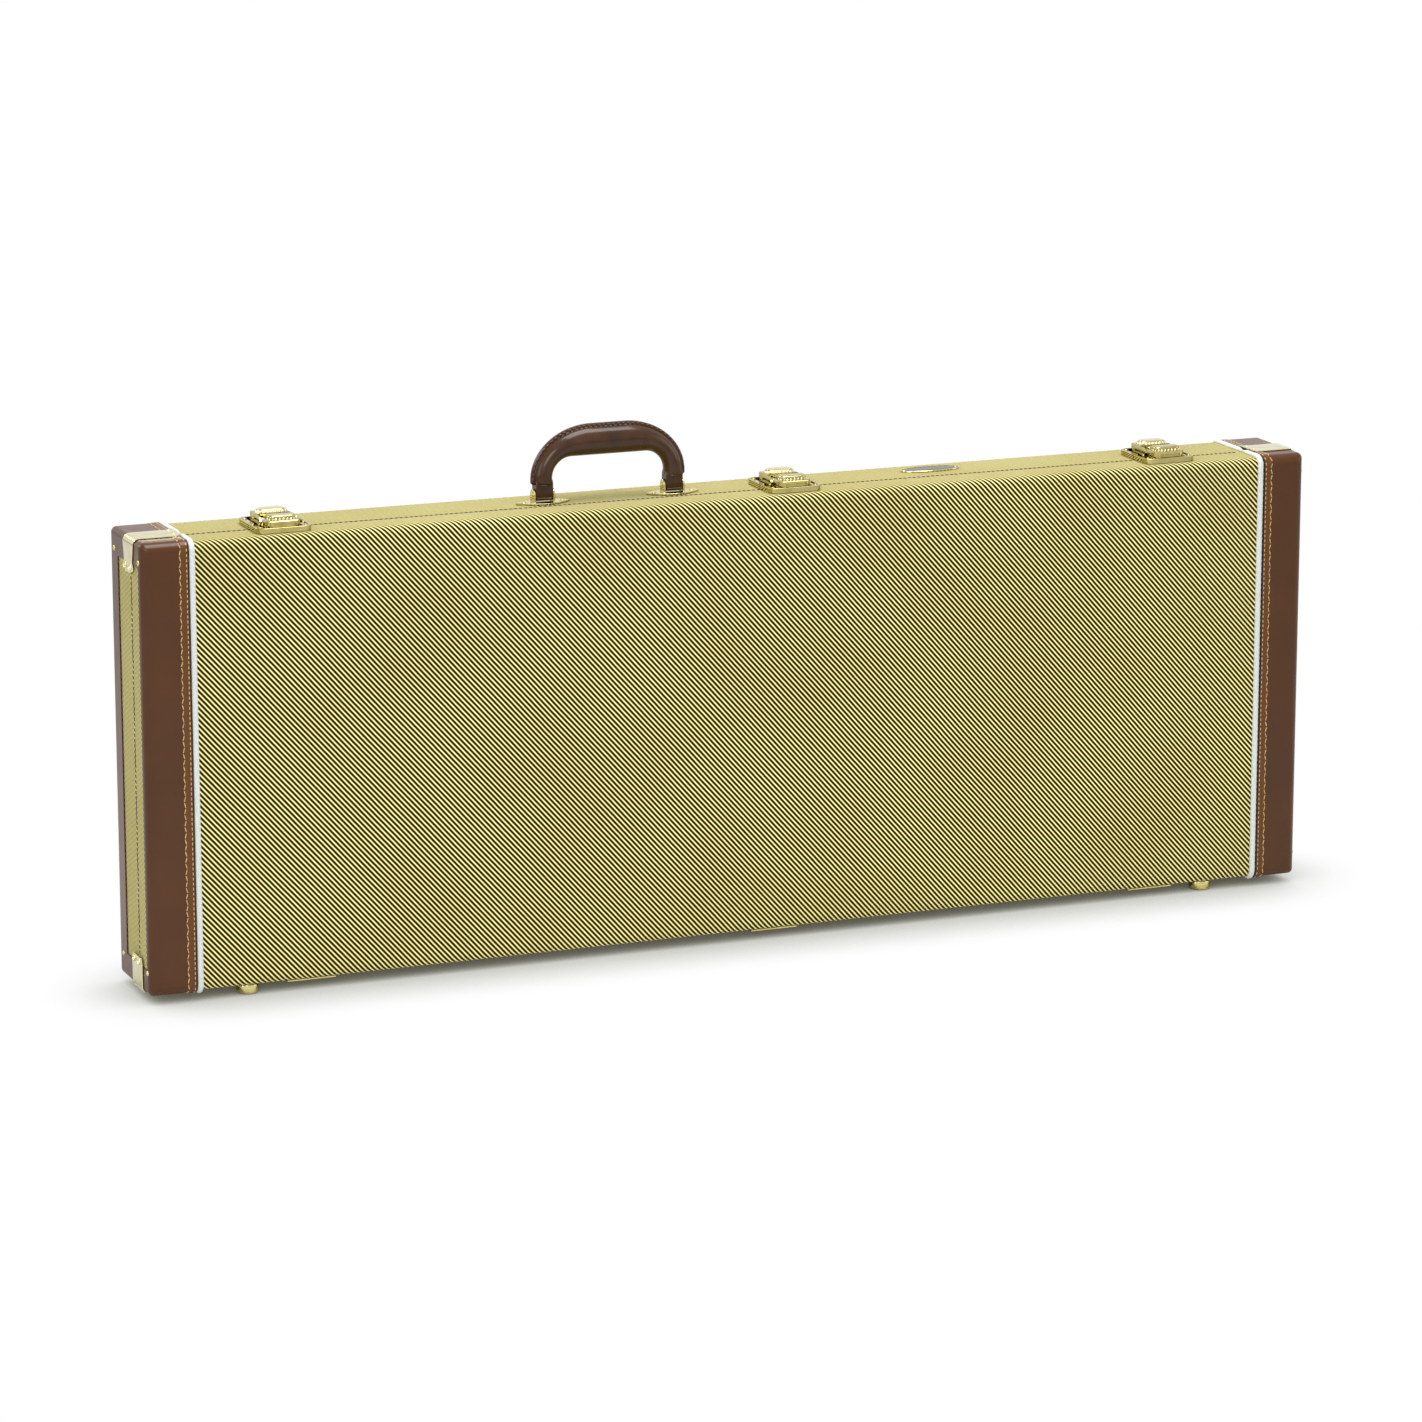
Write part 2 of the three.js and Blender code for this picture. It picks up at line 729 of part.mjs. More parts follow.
// An oval with the sewn welt standing on its outer side
function handleSection(centre, along, height, depth) {
  const outward = new THREE.Vector3(-along.z, 0, along.x);
  const weltAngle = Math.asin(weltThickness / depth);
  const ring = [];
  for (let side = 0; side <= sectionSides; side += 1) {
    const angle = weltAngle + (2 * (Math.PI - weltAngle) * side) / sectionSides;
    const point = centre.clone().addScaledVector(outward, (Math.cos(angle) * height) / 2);
    point.y -= (Math.sin(angle) * depth) / 2;
    ring.push(point);
  }
  for (const across of [1, -1]) {
    const point = centre.clone().addScaledVector(outward, height / 2 + weltHeight);
    point.y += (across * weltTopThickness) / 2;
    ring.push(point);
  }
  return ring;
}

function handleGrip() {
  const legX = handleSpan / 2;
  const legTopZ = topZ + handleHeight - weltHeight - handleGripHeight / 2 - handleBend;
  const legBottomZ = handlePinZ + handleTongueLength;
  const bendCentreX = legX - handleBend;
  const bendSteps = 6;
  const rings = [];
  const addRing = (x, z, alongX, alongZ, height, depth) => {
    const centre = new THREE.Vector3(handleCentre + x, bracketY, z);
    rings.push(handleSection(centre, new THREE.Vector3(alongX, 0, alongZ), height, depth));
  };
  addRing(-legX, legBottomZ, 0, 1, handleLegWidth, handleLegDepth);
  for (let step = 0; step <= bendSteps; step += 1) {
    const share = step / bendSteps;
    const angle = (Math.PI / 2) * share;
    const x = -bendCentreX - handleBend * Math.cos(angle);
    const z = legTopZ + handleBend * Math.sin(angle);
    const height = handleLegWidth + (handleGripHeight - handleLegWidth) * share;
    const depth = handleLegDepth + (handleGripDepth - handleLegDepth) * share;
    addRing(x, z, Math.sin(angle), Math.cos(angle), height, depth);
  }
  for (let step = bendSteps; step >= 0; step -= 1) {
    const share = step / bendSteps;
    const angle = (Math.PI / 2) * share;
    const x = bendCentreX + handleBend * Math.cos(angle);
    const z = legTopZ + handleBend * Math.sin(angle);
    const height = handleLegWidth + (handleGripHeight - handleLegWidth) * share;
    const depth = handleLegDepth + (handleGripDepth - handleLegDepth) * share;
    addRing(x, z, Math.sin(angle), -Math.cos(angle), height, depth);
  }
  addRing(legX, legBottomZ, 0, -1, handleLegWidth, handleLegDepth);
  let grip = toSolid(loft(rings));
  for (const sign of [-1, 1]) {
    const centreX = handleCentre + sign * legX;
    const lowX = centreX - handleTongueWidth / 2;
    const highX = centreX + handleTongueWidth / 2;
    const tongue = rodX(handleTongueRadius, lowX, highX, bracketY, handlePinZ);
    const neck = box(
      lowX,
      highX,
      bracketY - handleTongueRadius,
      bracketY + handleTongueRadius,
      handlePinZ,
      legBottomZ + handleTongueLength / 2,
    );
    const boreRadius = handlePinRadius + handlePinClearance;
    const bore = rodX(boreRadius, lowX - overrun, highX + overrun, bracketY, handlePinZ);
    grip = grip.add(tongue).add(neck).subtract(bore);
  }
  return grip;
}

// A bracket is a plate pointed at both ends, with a cheek on each side of the tongue
function bracket(centreX) {
  const outline = new THREE.Shape();
  outline.moveTo(centreX - bracketPlateLength / 2, bracketY);
  outline.quadraticCurveTo(centreX, bracketY - bracketPlateWidth, centreX + bracketPlateLength / 2, bracketY);
  outline.quadraticCurveTo(centreX, bracketY + bracketPlateWidth, centreX - bracketPlateLength / 2, bracketY);
  const plate = prismZ(outline, plateBottomZ, plateTopZ, 0, 12);
  const cheekOffset = handleTongueWidth / 2 + seatGap;
  const cheekRadius = handleTongueRadius - bracketCheek / 2;
  const bore = rodX(
    handlePinRadius + handlePinClearance,
    centreX - bracketPlateLength,
    centreX + bracketPlateLength,
    bracketY,
    handlePinZ,
  );
  let whole = plate;
  for (const sign of [-1, 1]) {
    const nearX = centreX + sign * cheekOffset;
    const farX = nearX + sign * bracketCheek;
    const lowX = Math.min(nearX, farX);
    const highX = Math.max(nearX, farX);
    whole = whole.add(rodX(cheekRadius, lowX, highX, bracketY, handlePinZ));
    whole = whole.add(box(lowX, highX, bracketY - cheekRadius, bracketY + cheekRadius, plateBottomZ, handlePinZ));
  }
  return whole.subtract(bore);
}

addPart('handle_grip', 'darkLeather', handleGrip());
for (const [side, sign] of Object.entries(endSides)) {
  const centreX = handleCentre + (sign * handleSpan) / 2;
  const pinReach = handleTongueWidth / 2 + seatGap + bracketCheek + seatGap;
  addPart(`handle_bracket_${side}`, 'brass', bracket(centreX));
  const pin = rodX(handlePinRadius, centreX - pinReach, centreX + pinReach, bracketY, handlePinZ);
  addPart(`handle_pin_${side}`, 'brass', pin);
}

// Feet: turned brass buttons, two under each half
function foot(x, y) {
  const headZ = footHeight - seatGap;
  const profile = [
    new THREE.Vector2(0, 0),
    new THREE.Vector2(footSoleRadius, 0),
    new THREE.Vector2(footTopRadius - footTaper, footFillet),
    new THREE.Vector2(footTopRadius, headZ - footFillet),
    new THREE.Vector2(footTopRadius, headZ),
    new THREE.Vector2(0, headZ),
  ];
  const turned = new THREE.LatheGeometry(profile, 24);
  return toSolid(turned.rotateX(Math.PI / 2).translate(x, y, 0));
}

for (const [half, outwardY] of [['lid', -1], ['body', 1]]) {
  const footY = half === 'lid' ? seamY + outwardY * footSeamInset : backY - footSeamInset;
  for (const [side, sign] of Object.entries(endSides)) {
    addPart(`${half}_foot_${side}`, 'brass', foot(sign * (endX - footInset), footY));
  }
}

// Oval plate on top of the body, left bare
const badgeOutline = new THREE.Shape();
badgeOutline.absellipse(badgeX, badgeY, badgeLength / 2, badgeWidth / 2, 0, Math.PI * 2, false, 0);
addPart('oval_plate', 'badge', prismZ(badgeOutline, plateBottomZ, plateBottomZ + badgeThickness, 0, 14));

// Liner: a plush-covered wall inside the body that stands past the rim and locates the lid
const linerDepth = wallThickness + seatGap + linerThickness;
const linerInnerX = shellLength / 2 - linerDepth;
const linerInnerHalfZ = caseHeight / 2 - linerDepth;
const linerHollow = box(
  -linerInnerX,
  linerInnerX,
  frontY,
  farAway,
  middleZ - linerInnerHalfZ,
  middleZ + linerInnerHalfZ,
);
const linerReach = box(
  -farAway,
  farAway,
  seamY - lipHeight,
  backY - wallThickness - edgeRadius,
  -farAway,
  farAway,
);
addPart('body_liner', 'plush', caseBlock(-wallThickness - seatGap).subtract(linerHollow).intersect(linerReach));

// Soft pads inside
const padX = linerInnerX - seatGap;
const padHalfZ = linerInnerHalfZ - seatGap;
const backPadLowZ = middleZ - padHalfZ + backPadInset;
const backPadHighZ = middleZ + padHalfZ - backPadInset;
const backPadFrontY = backY - wallThickness - seatGap - backPadThickness;
const padBackY = backPadFrontY - seatGap;
const padFrontY = seamY + padFrontRecess;

addPart('body_back_pad', 'plush', prismY(
  roundedRectangle(-padX + backPadInset, padX - backPadInset, backPadLowZ, backPadHighZ, padCorner),
  backPadFrontY,
  backPadFrontY + backPadThickness,
));

function endPadOutline(sign, length, hollowDepth) {
  const outline = new THREE.Shape();
  const wallX = sign * padX;
  const tipX = sign * (padX - length);
  outline.moveTo(wallX, middleZ - padHalfZ);
  outline.lineTo(wallX, middleZ + padHalfZ);
  outline.lineTo(tipX, middleZ + padHalfZ);
  outline.quadraticCurveTo(tipX + sign * hollowDepth * 2, middleZ, tipX, middleZ - padHalfZ);
  return outline;
}

addPart('tail_pad', 'plush', prismY(endPadOutline(-1, tailPadLength, tailPadHollow), padFrontY, padBackY));
addPart('head_pad', 'plush', prismY(endPadOutline(1, headPadLength, headPadHollow), padFrontY, padBackY));

// Bout pads follow the guitar's side: shares of their length, and of half the height, from the tail
const boutPadShares = [[0, 0.1], [0.2, 0.13], [0.45, 0.34], [0.7, 0.22], [0.88, 0.28], [1, 0.6]];

function boutPadOutline(sign) {
  const startX = -padX + tailPadLength + seatGap;
  const wallZ = middleZ + sign * padHalfZ;
  const outline = new THREE.Shape();
  outline.moveTo(startX, wallZ);
  outline.lineTo(startX, wallZ - sign * padHalfZ * boutPadShares[0][1]);
  outline.splineThru(boutPadShares.slice(1).map(([along, deep]) => (
    new THREE.Vector2(startX + along * boutPadLength, wallZ - sign * deep * padHalfZ)
  )));
  outline.lineTo(startX + boutPadLength, wallZ);
  return outline;
}

addPart('bout_pad_upper', 'plush', prismY(boutPadOutline(1), padFrontY, padBackY));
addPart('bout_pad_lower', 'plush', prismY(boutPadOutline(-1), padFrontY, padBackY));

// The accessory box ends short of the headstock, and the neck rest stands clear of its tail end
const accessoryHighX = endX - accessoryEndInset;
const accessoryLowX = accessoryHighX - accessoryLength;
const neckRestHighX = accessoryLowX - neckRestGap;

// Neck rest: a block with a rounded channel
function neckRest() {
  const halfWidth = neckWidth / 2 + neckRestShoulder;
  const outline = new THREE.Shape();
  const channelY = padFrontY + neckChannelDepth;
  outline.moveTo(padBackY, middleZ - halfWidth);
  outline.lineTo(padBackY, middleZ + halfWidth);
  outline.lineTo(padFrontY, middleZ + halfWidth);
  outline.lineTo(padFrontY, middleZ + neckWidth / 2);
  outline.lineTo(channelY - neckChannelRadius, middleZ + neckWidth / 2);
  outline.quadraticCurveTo(channelY, middleZ + neckWidth / 2, channelY, middleZ + neckWidth / 2 - neckChannelRadius);
  outline.lineTo(channelY, middleZ - neckWidth / 2 + neckChannelRadius);
  outline.quadraticCurveTo(channelY, middleZ - neckWidth / 2, channelY - neckChannelRadius, middleZ - neckWidth / 2);
  outline.lineTo(padFrontY, middleZ - neckWidth / 2);
  outline.lineTo(padFrontY, middleZ - halfWidth);
  return prismX(outline, neckRestHighX - neckRestLength, neckRestHighX);
}

addPart('neck_rest', 'plush', neckRest());

// Accessory box below the neck, with a lid hinged along its lower edge
const accessoryLowZ = middleZ - padHalfZ;
const accessoryHighZ = accessoryLowZ + accessoryHeight;
const accessoryBox = box(accessoryLowX, accessoryHighX, padFrontY, padBackY, accessoryLowZ, accessoryHighZ)
  .subtract(box(
    accessoryLowX + accessoryWall,
    accessoryHighX - accessoryWall,
    padFrontY - overrun,
    padBackY - accessoryWall,
    accessoryLowZ + accessoryWall,
    accessoryHighZ - accessoryWall,
  ));
addPart('accessory_box', 'plush', accessoryBox);
addPart('accessory_lid', 'plush', prismY(
  roundedRectangle(
    accessoryLowX,
    accessoryHighX,
    accessoryLowZ + accessoryLidThickness / 2,
    accessoryHighZ,
    accessoryLidEdge,
  ),
  padFrontY - seatGap - accessoryLidThickness,
  padFrontY - seatGap,
));

// Lid pad: a shallow crowned cushion on the inside of the lid, in shares of its thickness and half height
const lidPadShares = [[0, 0], [0.55, 0], [0.85, 0.02], [1, 0.1]];
const lidPadTopShare = 0.55;

function lidPad() {
  const backingY = frontY + wallThickness + seatGap;
  const halfX = padX - linerThickness;
  const halfZ = padHalfZ - linerThickness;
  const rings = lidPadShares.map(([deep, inset]) => padRing(halfX, halfZ, backingY + deep * lidPadThickness, inset));
  rings.push(padRing(halfX, halfZ, backingY + lidPadThickness + lidPadCrown, lidPadTopShare));
  return toSolid(loft(rings));
}

function padRing(halfX, halfZ, y, insetShare) {
  const inset = insetShare * halfZ;
  const outline = roundedRectangle(
    -halfX + inset,
    halfX - inset,
    middleZ - halfZ + inset,
    middleZ + halfZ - inset,
    padCorner,
  );
  return outlinePoints(outline, 4).map((point) => new THREE.Vector3(point.x, y, point.y)).reverse();
}

addPart('lid_pad', 'plush', lidPad());

export default guitarCase;
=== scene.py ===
import functools
import math

import bmesh
import bpy
import numpy as np
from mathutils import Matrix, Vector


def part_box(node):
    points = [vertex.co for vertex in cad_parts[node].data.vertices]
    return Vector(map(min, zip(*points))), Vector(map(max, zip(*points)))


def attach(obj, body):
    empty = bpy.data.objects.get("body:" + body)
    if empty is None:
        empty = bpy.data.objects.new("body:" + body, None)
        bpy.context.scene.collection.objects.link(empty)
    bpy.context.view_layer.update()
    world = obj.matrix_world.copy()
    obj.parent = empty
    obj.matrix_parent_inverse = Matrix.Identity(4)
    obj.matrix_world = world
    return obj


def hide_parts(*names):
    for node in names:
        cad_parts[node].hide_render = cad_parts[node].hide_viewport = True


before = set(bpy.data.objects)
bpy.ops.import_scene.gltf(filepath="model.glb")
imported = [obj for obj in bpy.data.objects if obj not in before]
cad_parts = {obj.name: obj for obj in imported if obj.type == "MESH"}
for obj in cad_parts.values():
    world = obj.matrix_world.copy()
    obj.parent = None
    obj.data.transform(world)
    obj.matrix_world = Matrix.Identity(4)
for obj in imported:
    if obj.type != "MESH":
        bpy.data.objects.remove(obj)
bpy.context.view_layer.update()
print("frame loaded")

mm = 0.001
fullTurn, quarterTurn = 2 * np.pi, np.pi / 2
unit = np.eye(3)


def corners(node):
    # lowest and highest corner of a CAD node, in millimetres
    low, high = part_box(node)
    return np.array(low) / mm, np.array(high) / mm


def camel(node):
    # a CAD node's name as names are written here
    first, *rest = node.split("_")
    return first + "".join(word.title() for word in rest)


lidLow, lidHigh = corners("lid_shell")
bodyLow, bodyHigh = corners("body_shell")
case = {
    "halfLength": lidHigh[0],
    "halfHeight": (lidHigh[2] - lidLow[2]) / 2,
    "middleZ": (lidHigh[2] + lidLow[2]) / 2,
    "seamY": (lidHigh[1] + bodyLow[1]) / 2,
    "seamGap": bodyLow[1] - lidHigh[1],
    "edgeRadius": 7,
    "cornerRadius": 3.5,
    "leastRadius": 0.5,
    "straightMargin": 3,        # from an edge's arc to where the cloth is pinned down
    "flatMargin": 1.0,          # from an edge's arc to the one flat sheet inside it
    "wall": 5,
    "rimRadius": 1.1,
    "arcSteps": 10,
}
case["topZ"] = case["middleZ"] + case["halfHeight"]
case["bottomZ"] = case["middleZ"] - case["halfHeight"]
halves = {
    "lid": {"face": lidLow[1], "inward": 1, "windowDepth": 9},
    "body": {"face": bodyHigh[1], "inward": -1, "windowDepth": 23},
}
halves["lid"]["depth"] = lidHigh[1] - lidLow[1]
halves["body"]["depth"] = bodyHigh[1] - bodyLow[1]
ends = {"left": -1, "right": 1}


# Materials

def linear(code):
    # an sRGB hex colour as linear red, green, blue and alpha
    parts = [int(code[i:i + 2], 16) / 255 for i in (1, 3, 5)]
    return [p / 12.92 if p <= 0.04045 else ((p + 0.055) / 1.055) ** 2.4 for p in parts] + [1]


def addNode(tree, kind, inputs=(), stops=(), **settings):
    # a node with its settings; an input takes a value or the socket that feeds it, a ramp its stops
    node = tree.nodes.new(kind)
    for key, value in settings.items():
        setattr(node, key, value)
    for key, value in inputs.items() if isinstance(inputs, dict) else enumerate(inputs):
        if isinstance(value, bpy.types.NodeSocket):
            tree.links.new(value, node.inputs[key])
        else:
            node.inputs[key].default_value = value
    if stops:
        elements = node.color_ramp.elements
        for _ in stops[2:]:
            elements.new(0.5)
        for element, (place, colour) in zip(elements, stops):
            element.position = place
            element.color = linear(colour)
    return node.outputs


def newMaterial(name):
    # an empty material, and the call that adds a node to it
    material = bpy.data.materials.new(name)
    material.use_nodes = True
    material.node_tree.nodes.clear()
    return material, functools.partial(addNode, material.node_tree)


def finished(material, add, inputs):
    surface = add("ShaderNodeBsdfPrincipled", inputs)[0]
    add("ShaderNodeOutputMaterial", {"Surface": surface})
    return material


tweedLook = {
    "stripesAcross": 230.0,     # stripes per metre along the case
    "stripesUp": 207.5,         # stripes per metre up the case
    "threadPitch": 0.0011,      # metres between the threads along a stripe
    "wander": ((7, 0.4), (170, 0.08)),      # noise per metre, and its share of a stripe
    "tones": ((0.33, "#302700"), (0.55, "#584D00"), (0.73, "#CEC366"), (0.93, "#FFF8BE")),
    "beadTone": 0.07,
    "beadHeight": 0.2,          # share of a rib's height
    "fibreTone": 0.12,
    # the flat tone: painted sheen and rib shade for the cloth on the walls
    "flat": "#BFB268",
    "sheenAndShadeShare": 0.34,          # how far the cloth on the walls is mixed towards the flat tone: painted sheen and rib shade
    "patches": ((0.35, "#F7F5EE"), (0.65, "#FFFFFF")),
    "ribHeight": 0.0004,
}


def makeTweed():
    # woven cotton tweed under lacquer: diagonal cream ribs over olive, beaded threads, dull sheen
    material, add = newMaterial("lacqueredTweed")
    cloth = add("ShaderNodeUVMap", uv_map="cloth")[0]
    across, up = tweedLook["stripesAcross"], tweedLook["stripesUp"]
    threads = 1 / tweedLook["threadPitch"] / math.hypot(across, up)
    # stripes counted across the ribs, and threads counted along them
    phase, along = [
        add("ShaderNodeVectorMath", [cloth, direction], operation="DOT_PRODUCT")["Value"]
        for direction in ((across, up, 0), (up * threads, -across * threads, 0))
    ]
    for scale, share in tweedLook["wander"]:
        wander = add("ShaderNodeTexNoise", {"Vector": cloth, "Scale": scale})[0]
        phase = add("ShaderNodeMath", [wander, share, phase], operation="MULTIPLY_ADD")[0]
    # each stripe's beads stand half a step from its neighbours'
    stripe = add("ShaderNodeMath", [phase], operation="FLOOR")[0]
    step = add("ShaderNodeMath", [stripe, 0.5, along], operation="MULTIPLY_ADD")[0]
    angles = [add("ShaderNodeMath", [t, fullTurn], operation="MULTIPLY")[0] for t in (phase, step)]
    wave, bead = [add("ShaderNodeMath", [angle], operation="COSINE")[0] for angle in angles]
    rib = add("ShaderNodeMath", [wave, 0.5, 0.5], operation="MULTIPLY_ADD")[0]
    fibre = add("ShaderNodeTexNoise", {"Vector": cloth, "Scale": 2400, "Detail": 3})[0]
    fibre = add("ShaderNodeMath", [fibre, 0.5], operation="SUBTRACT")[0]
    tone = rib
    for part, share in ((bead, tweedLook["beadTone"]), (fibre, tweedLook["fibreTone"])):
        tone = add("ShaderNodeMath", [part, share, tone], operation="MULTIPLY_ADD")[0]
    ribbed = add("ShaderNodeValToRGB", [tone], tweedLook["tones"])[0]
    # beyond the face and its edge's arc the cloth on the walls is mixed towards one flat tone:
    # painted sheen and rib shade, standing in for glare and for the ribs hiding their dark valleys
    # at a grazing angle
    sides = add("ShaderNodeSeparateXYZ", [cloth])
    beyond = []
    for side, reach in zip(sides, (case["halfLength"], case["halfHeight"])):
        fromMiddle = add("ShaderNodeMath", [side], operation="ABSOLUTE")[0]
        limit = (reach - case["edgeRadius"]) * mm
        beyond.append(add("ShaderNodeMath", [fromMiddle, limit], operation="SUBTRACT")[0])
    arc = case["edgeRadius"] * quarterTurn * mm
    onWall = add("ShaderNodeMapRange", {
        "Value": add("ShaderNodeMath", beyond, operation="MAXIMUM")[0],
        "From Min": arc * 0.5, "From Max": arc, "To Max": tweedLook["sheenAndShadeShare"],
    })[0]
    flat = linear(tweedLook["flat"])
    colour = add("ShaderNodeMix", {0: onWall, 6: ribbed, 7: flat}, data_type="RGBA")[2]
    faded = add("ShaderNodeTexNoise", {"Vector": cloth, "Scale": 9, "Detail": 3})[0]
    patch = add("ShaderNodeValToRGB", [faded], tweedLook["patches"])[0]
    patchy = {0: 1.0, 6: colour, 7: patch}
    colour = add("ShaderNodeMix", patchy, data_type="RGBA", blend_type="MULTIPLY")[2]
    beaded = [bead, tweedLook["beadHeight"], rib]
    height = add("ShaderNodeMath", beaded, operation="MULTIPLY_ADD")[0]
    relief = {"Strength": 0.5, "Distance": tweedLook["ribHeight"], "Height": height}
    return finished(material, add, {
        "Base Color": colour, "Normal": add("ShaderNodeBump", relief)[0],
        "Roughness": 0.75, "Specular IOR Level": 0.03,
        "Sheen Weight": 0.3, "Sheen Roughness": 0.2, "Sheen Tint": linear("#F8F4E8"),
    })


leatherLook = {
    "hide": ((0.35, "#472605"), (0.65, "#4F2A07")),
    "sewn": (0.4925, "#5C370E"),    # painted shade in the gap along the piping: metres from the middle to its end, and its tone
    "gapShade": (0.4861, "#1C0E05"),     # the painted edge, likewise
    "grain": 1500.0,                # pores per metre
}


def makeLeatherette():
    # vinyl leathercloth: embossed fine pores, satin top coat, browner where the hem is doubled, and
    # a painted shade along the hem's edge by the piping
    material, add = newMaterial("brownLeathercloth")
    place = add("ShaderNodeTexCoord")["Object"]
    along = add("ShaderNodeSeparateXYZ", [place])[0]
    outFrom = add("ShaderNodeMath", [along], operation="ABSOLUTE")[0]
    mottled = add("ShaderNodeTexNoise", {"Vector": place, "Scale": 14, "Detail": 4})[0]
    colour = add("ShaderNodeValToRGB", [mottled], leatherLook["hide"])[0]
    # the hem's own tone, then the painted shade in the gap along the piping
    for limit, tone in (leatherLook["sewn"], leatherLook["gapShade"]):
        inside = add("ShaderNodeMath", [outFrom, limit], operation="LESS_THAN")[0]
        colour = add("ShaderNodeMix", {0: inside, 6: colour, 7: linear(tone)}, data_type="RGBA")[2]
    grain = {"Vector": place, "Scale": leatherLook["grain"]}
    pores = add("ShaderNodeTexVoronoi", grain)["Distance"]
    creases = add("ShaderNodeTexNoise", {"Vector": place, "Scale": 260, "Detail": 3})[0]
    height = add("ShaderNodeMath", [creases, 0.6, pores], operation="MULTIPLY_ADD")[0]
    relief = {"Strength": 0.22, "Distance": 0.00015, "Height": height}
    wear = add("ShaderNodeTexNoise", {"Vector": place, "Scale": 40, "Detail": 3})[0]
    return finished(material, add, {
        "Base Color": colour, "Normal": add("ShaderNodeBump", relief)[0],
        "Roughness": add("ShaderNodeMath", [wear, 0.16, 0.3], operation="MULTIPLY_ADD")[0],
        "Specular IOR Level": 0.05, "Coat Weight": 0.5, "Coat Roughness": 0.24,
    })


def makeHandleLeather():
    # waxed bridle leather: dark, close pores, polished by the hand
    material, add = newMaterial("polishedHandleLeather")
    place = add("ShaderNodeTexCoord")["Object"]
    mottled = add("ShaderNodeTexNoise", {"Vector": place, "Scale": 60, "Detail": 4})[0]
    pores = add("ShaderNodeTexVoronoi", {"Vector": place, "Scale": 1300.0})["Distance"]
    relief = {"Strength": 0.2, "Distance": 0.00015, "Height": pores}
    wear = add("ShaderNodeTexNoise", {"Vector": place, "Scale": 90, "Detail": 3})[0]
    return finished(material, add, {
        "Base Color": add("ShaderNodeValToRGB", [mottled], ((0.3, "#301A06"), (0.7, "#44270C")))[0],
        "Normal": add("ShaderNodeBump", relief)[0],
        "Roughness": add("ShaderNodeMath", [wear, 0.15, 0.24], operation="MULTIPLY_ADD")[0],
        "Specular IOR Level": 0.15, "Coat Weight": 0.35, "Coat Roughness": 0.1,
    })


def makeWelting():
    # extruded white vinyl, faintly grained, a little grey in the pores
    material, add = newMaterial("whiteVinylWelting")
    place = add("ShaderNodeTexCoord")["Object"]
    speck = add("ShaderNodeTexNoise", {"Vector": place, "Scale": 900})[0]
    relief = {"Strength": 0.25, "Distance": 0.0002, "Height": speck}
    return finished(material, add, {
        "Base Color": add("ShaderNodeValToRGB", [speck], ((0.35, "#C2C8C4"), (0.6, "#DADEDA")))[0],
        "Normal": add("ShaderNodeBump", relief)[0], "Roughness": 0.42,
    })


def makeBrass(name, low, high):
    # brass plate over pressed steel: pale and polished, with a painted shade making it duller and
    # browner in its corners and creases
    material, add = newMaterial(name)
    place = add("ShaderNodeTexCoord")["Object"]
    cloudy = add("ShaderNodeTexNoise", {"Vector": place, "Scale": 120, "Detail": 3})[0]
    plate = add("ShaderNodeValToRGB", [cloudy], ((0.3, low), (0.7, high)))[0]
    # painted shade: ambient occlusion darkens the plate in its corners and creases
    clear = add("ShaderNodeAmbientOcclusion", {"Distance": 0.0022}, samples=8)["AO"]
    creaseShade = add("ShaderNodeValToRGB", [clear], ((0.1, "#5E5424"), (0.65, "#FFFFFF")))[0]
    creaseShaded = {0: 1.0, 6: plate, 7: creaseShade}
    scuffs = add("ShaderNodeTexNoise", {"Vector": place, "Scale": 300, "Detail": 4})[0]
    ripples = add("ShaderNodeTexNoise", {"Vector": place, "Scale": 300})[0]
    relief = {"Strength": 0.03, "Distance": 0.0002, "Height": ripples}
    return finished(material, add, {
        "Base Color": add("ShaderNodeMix", creaseShaded, data_type="RGBA", blend_type="MULTIPLY")[2],
        "Normal": add("ShaderNodeBump", relief)[0],
        "Roughness": add("ShaderNodeMath", [scuffs, 0.08, 0.03], operation="MULTIPLY_ADD")[0],
        "Metallic": 1.0,
    })


def makeEnamel():
    # fired black enamel, smooth and glossy
    material, add = newMaterial("blackEnamel")
    place = add("ShaderNodeTexCoord")["Object"]
    cloudy = add("ShaderNodeTexNoise", {"Vector": place, "Scale": 200})[0]
    return finished(material, add, {
        "Base Color": add("ShaderNodeValToRGB", [cloudy], ((0.3, "#10131C"), (0.7, "#1C2130")))[0],
        "Roughness": 0.18, "Specular IOR Level": 0.3, "Coat Weight": 0.15, "Coat Roughness": 0.05,
    })


def makeThread(name, low, high):
    # waxed polyester thread: its fibres catch the light in lighter and darker specks
    material, add = newMaterial(name)
    place = add("ShaderNodeTexCoord")["Object"]
    fibres = add("ShaderNodeTexNoise", {"Vector": place, "Scale": 1500})[0]
    return finished(material, add, {
        "Base Color": add("ShaderNodeValToRGB", [fibres], ((0.35, low), (0.65, high)))[0],
        "Roughness": 0.55, "Sheen Weight": 0.2,
    })


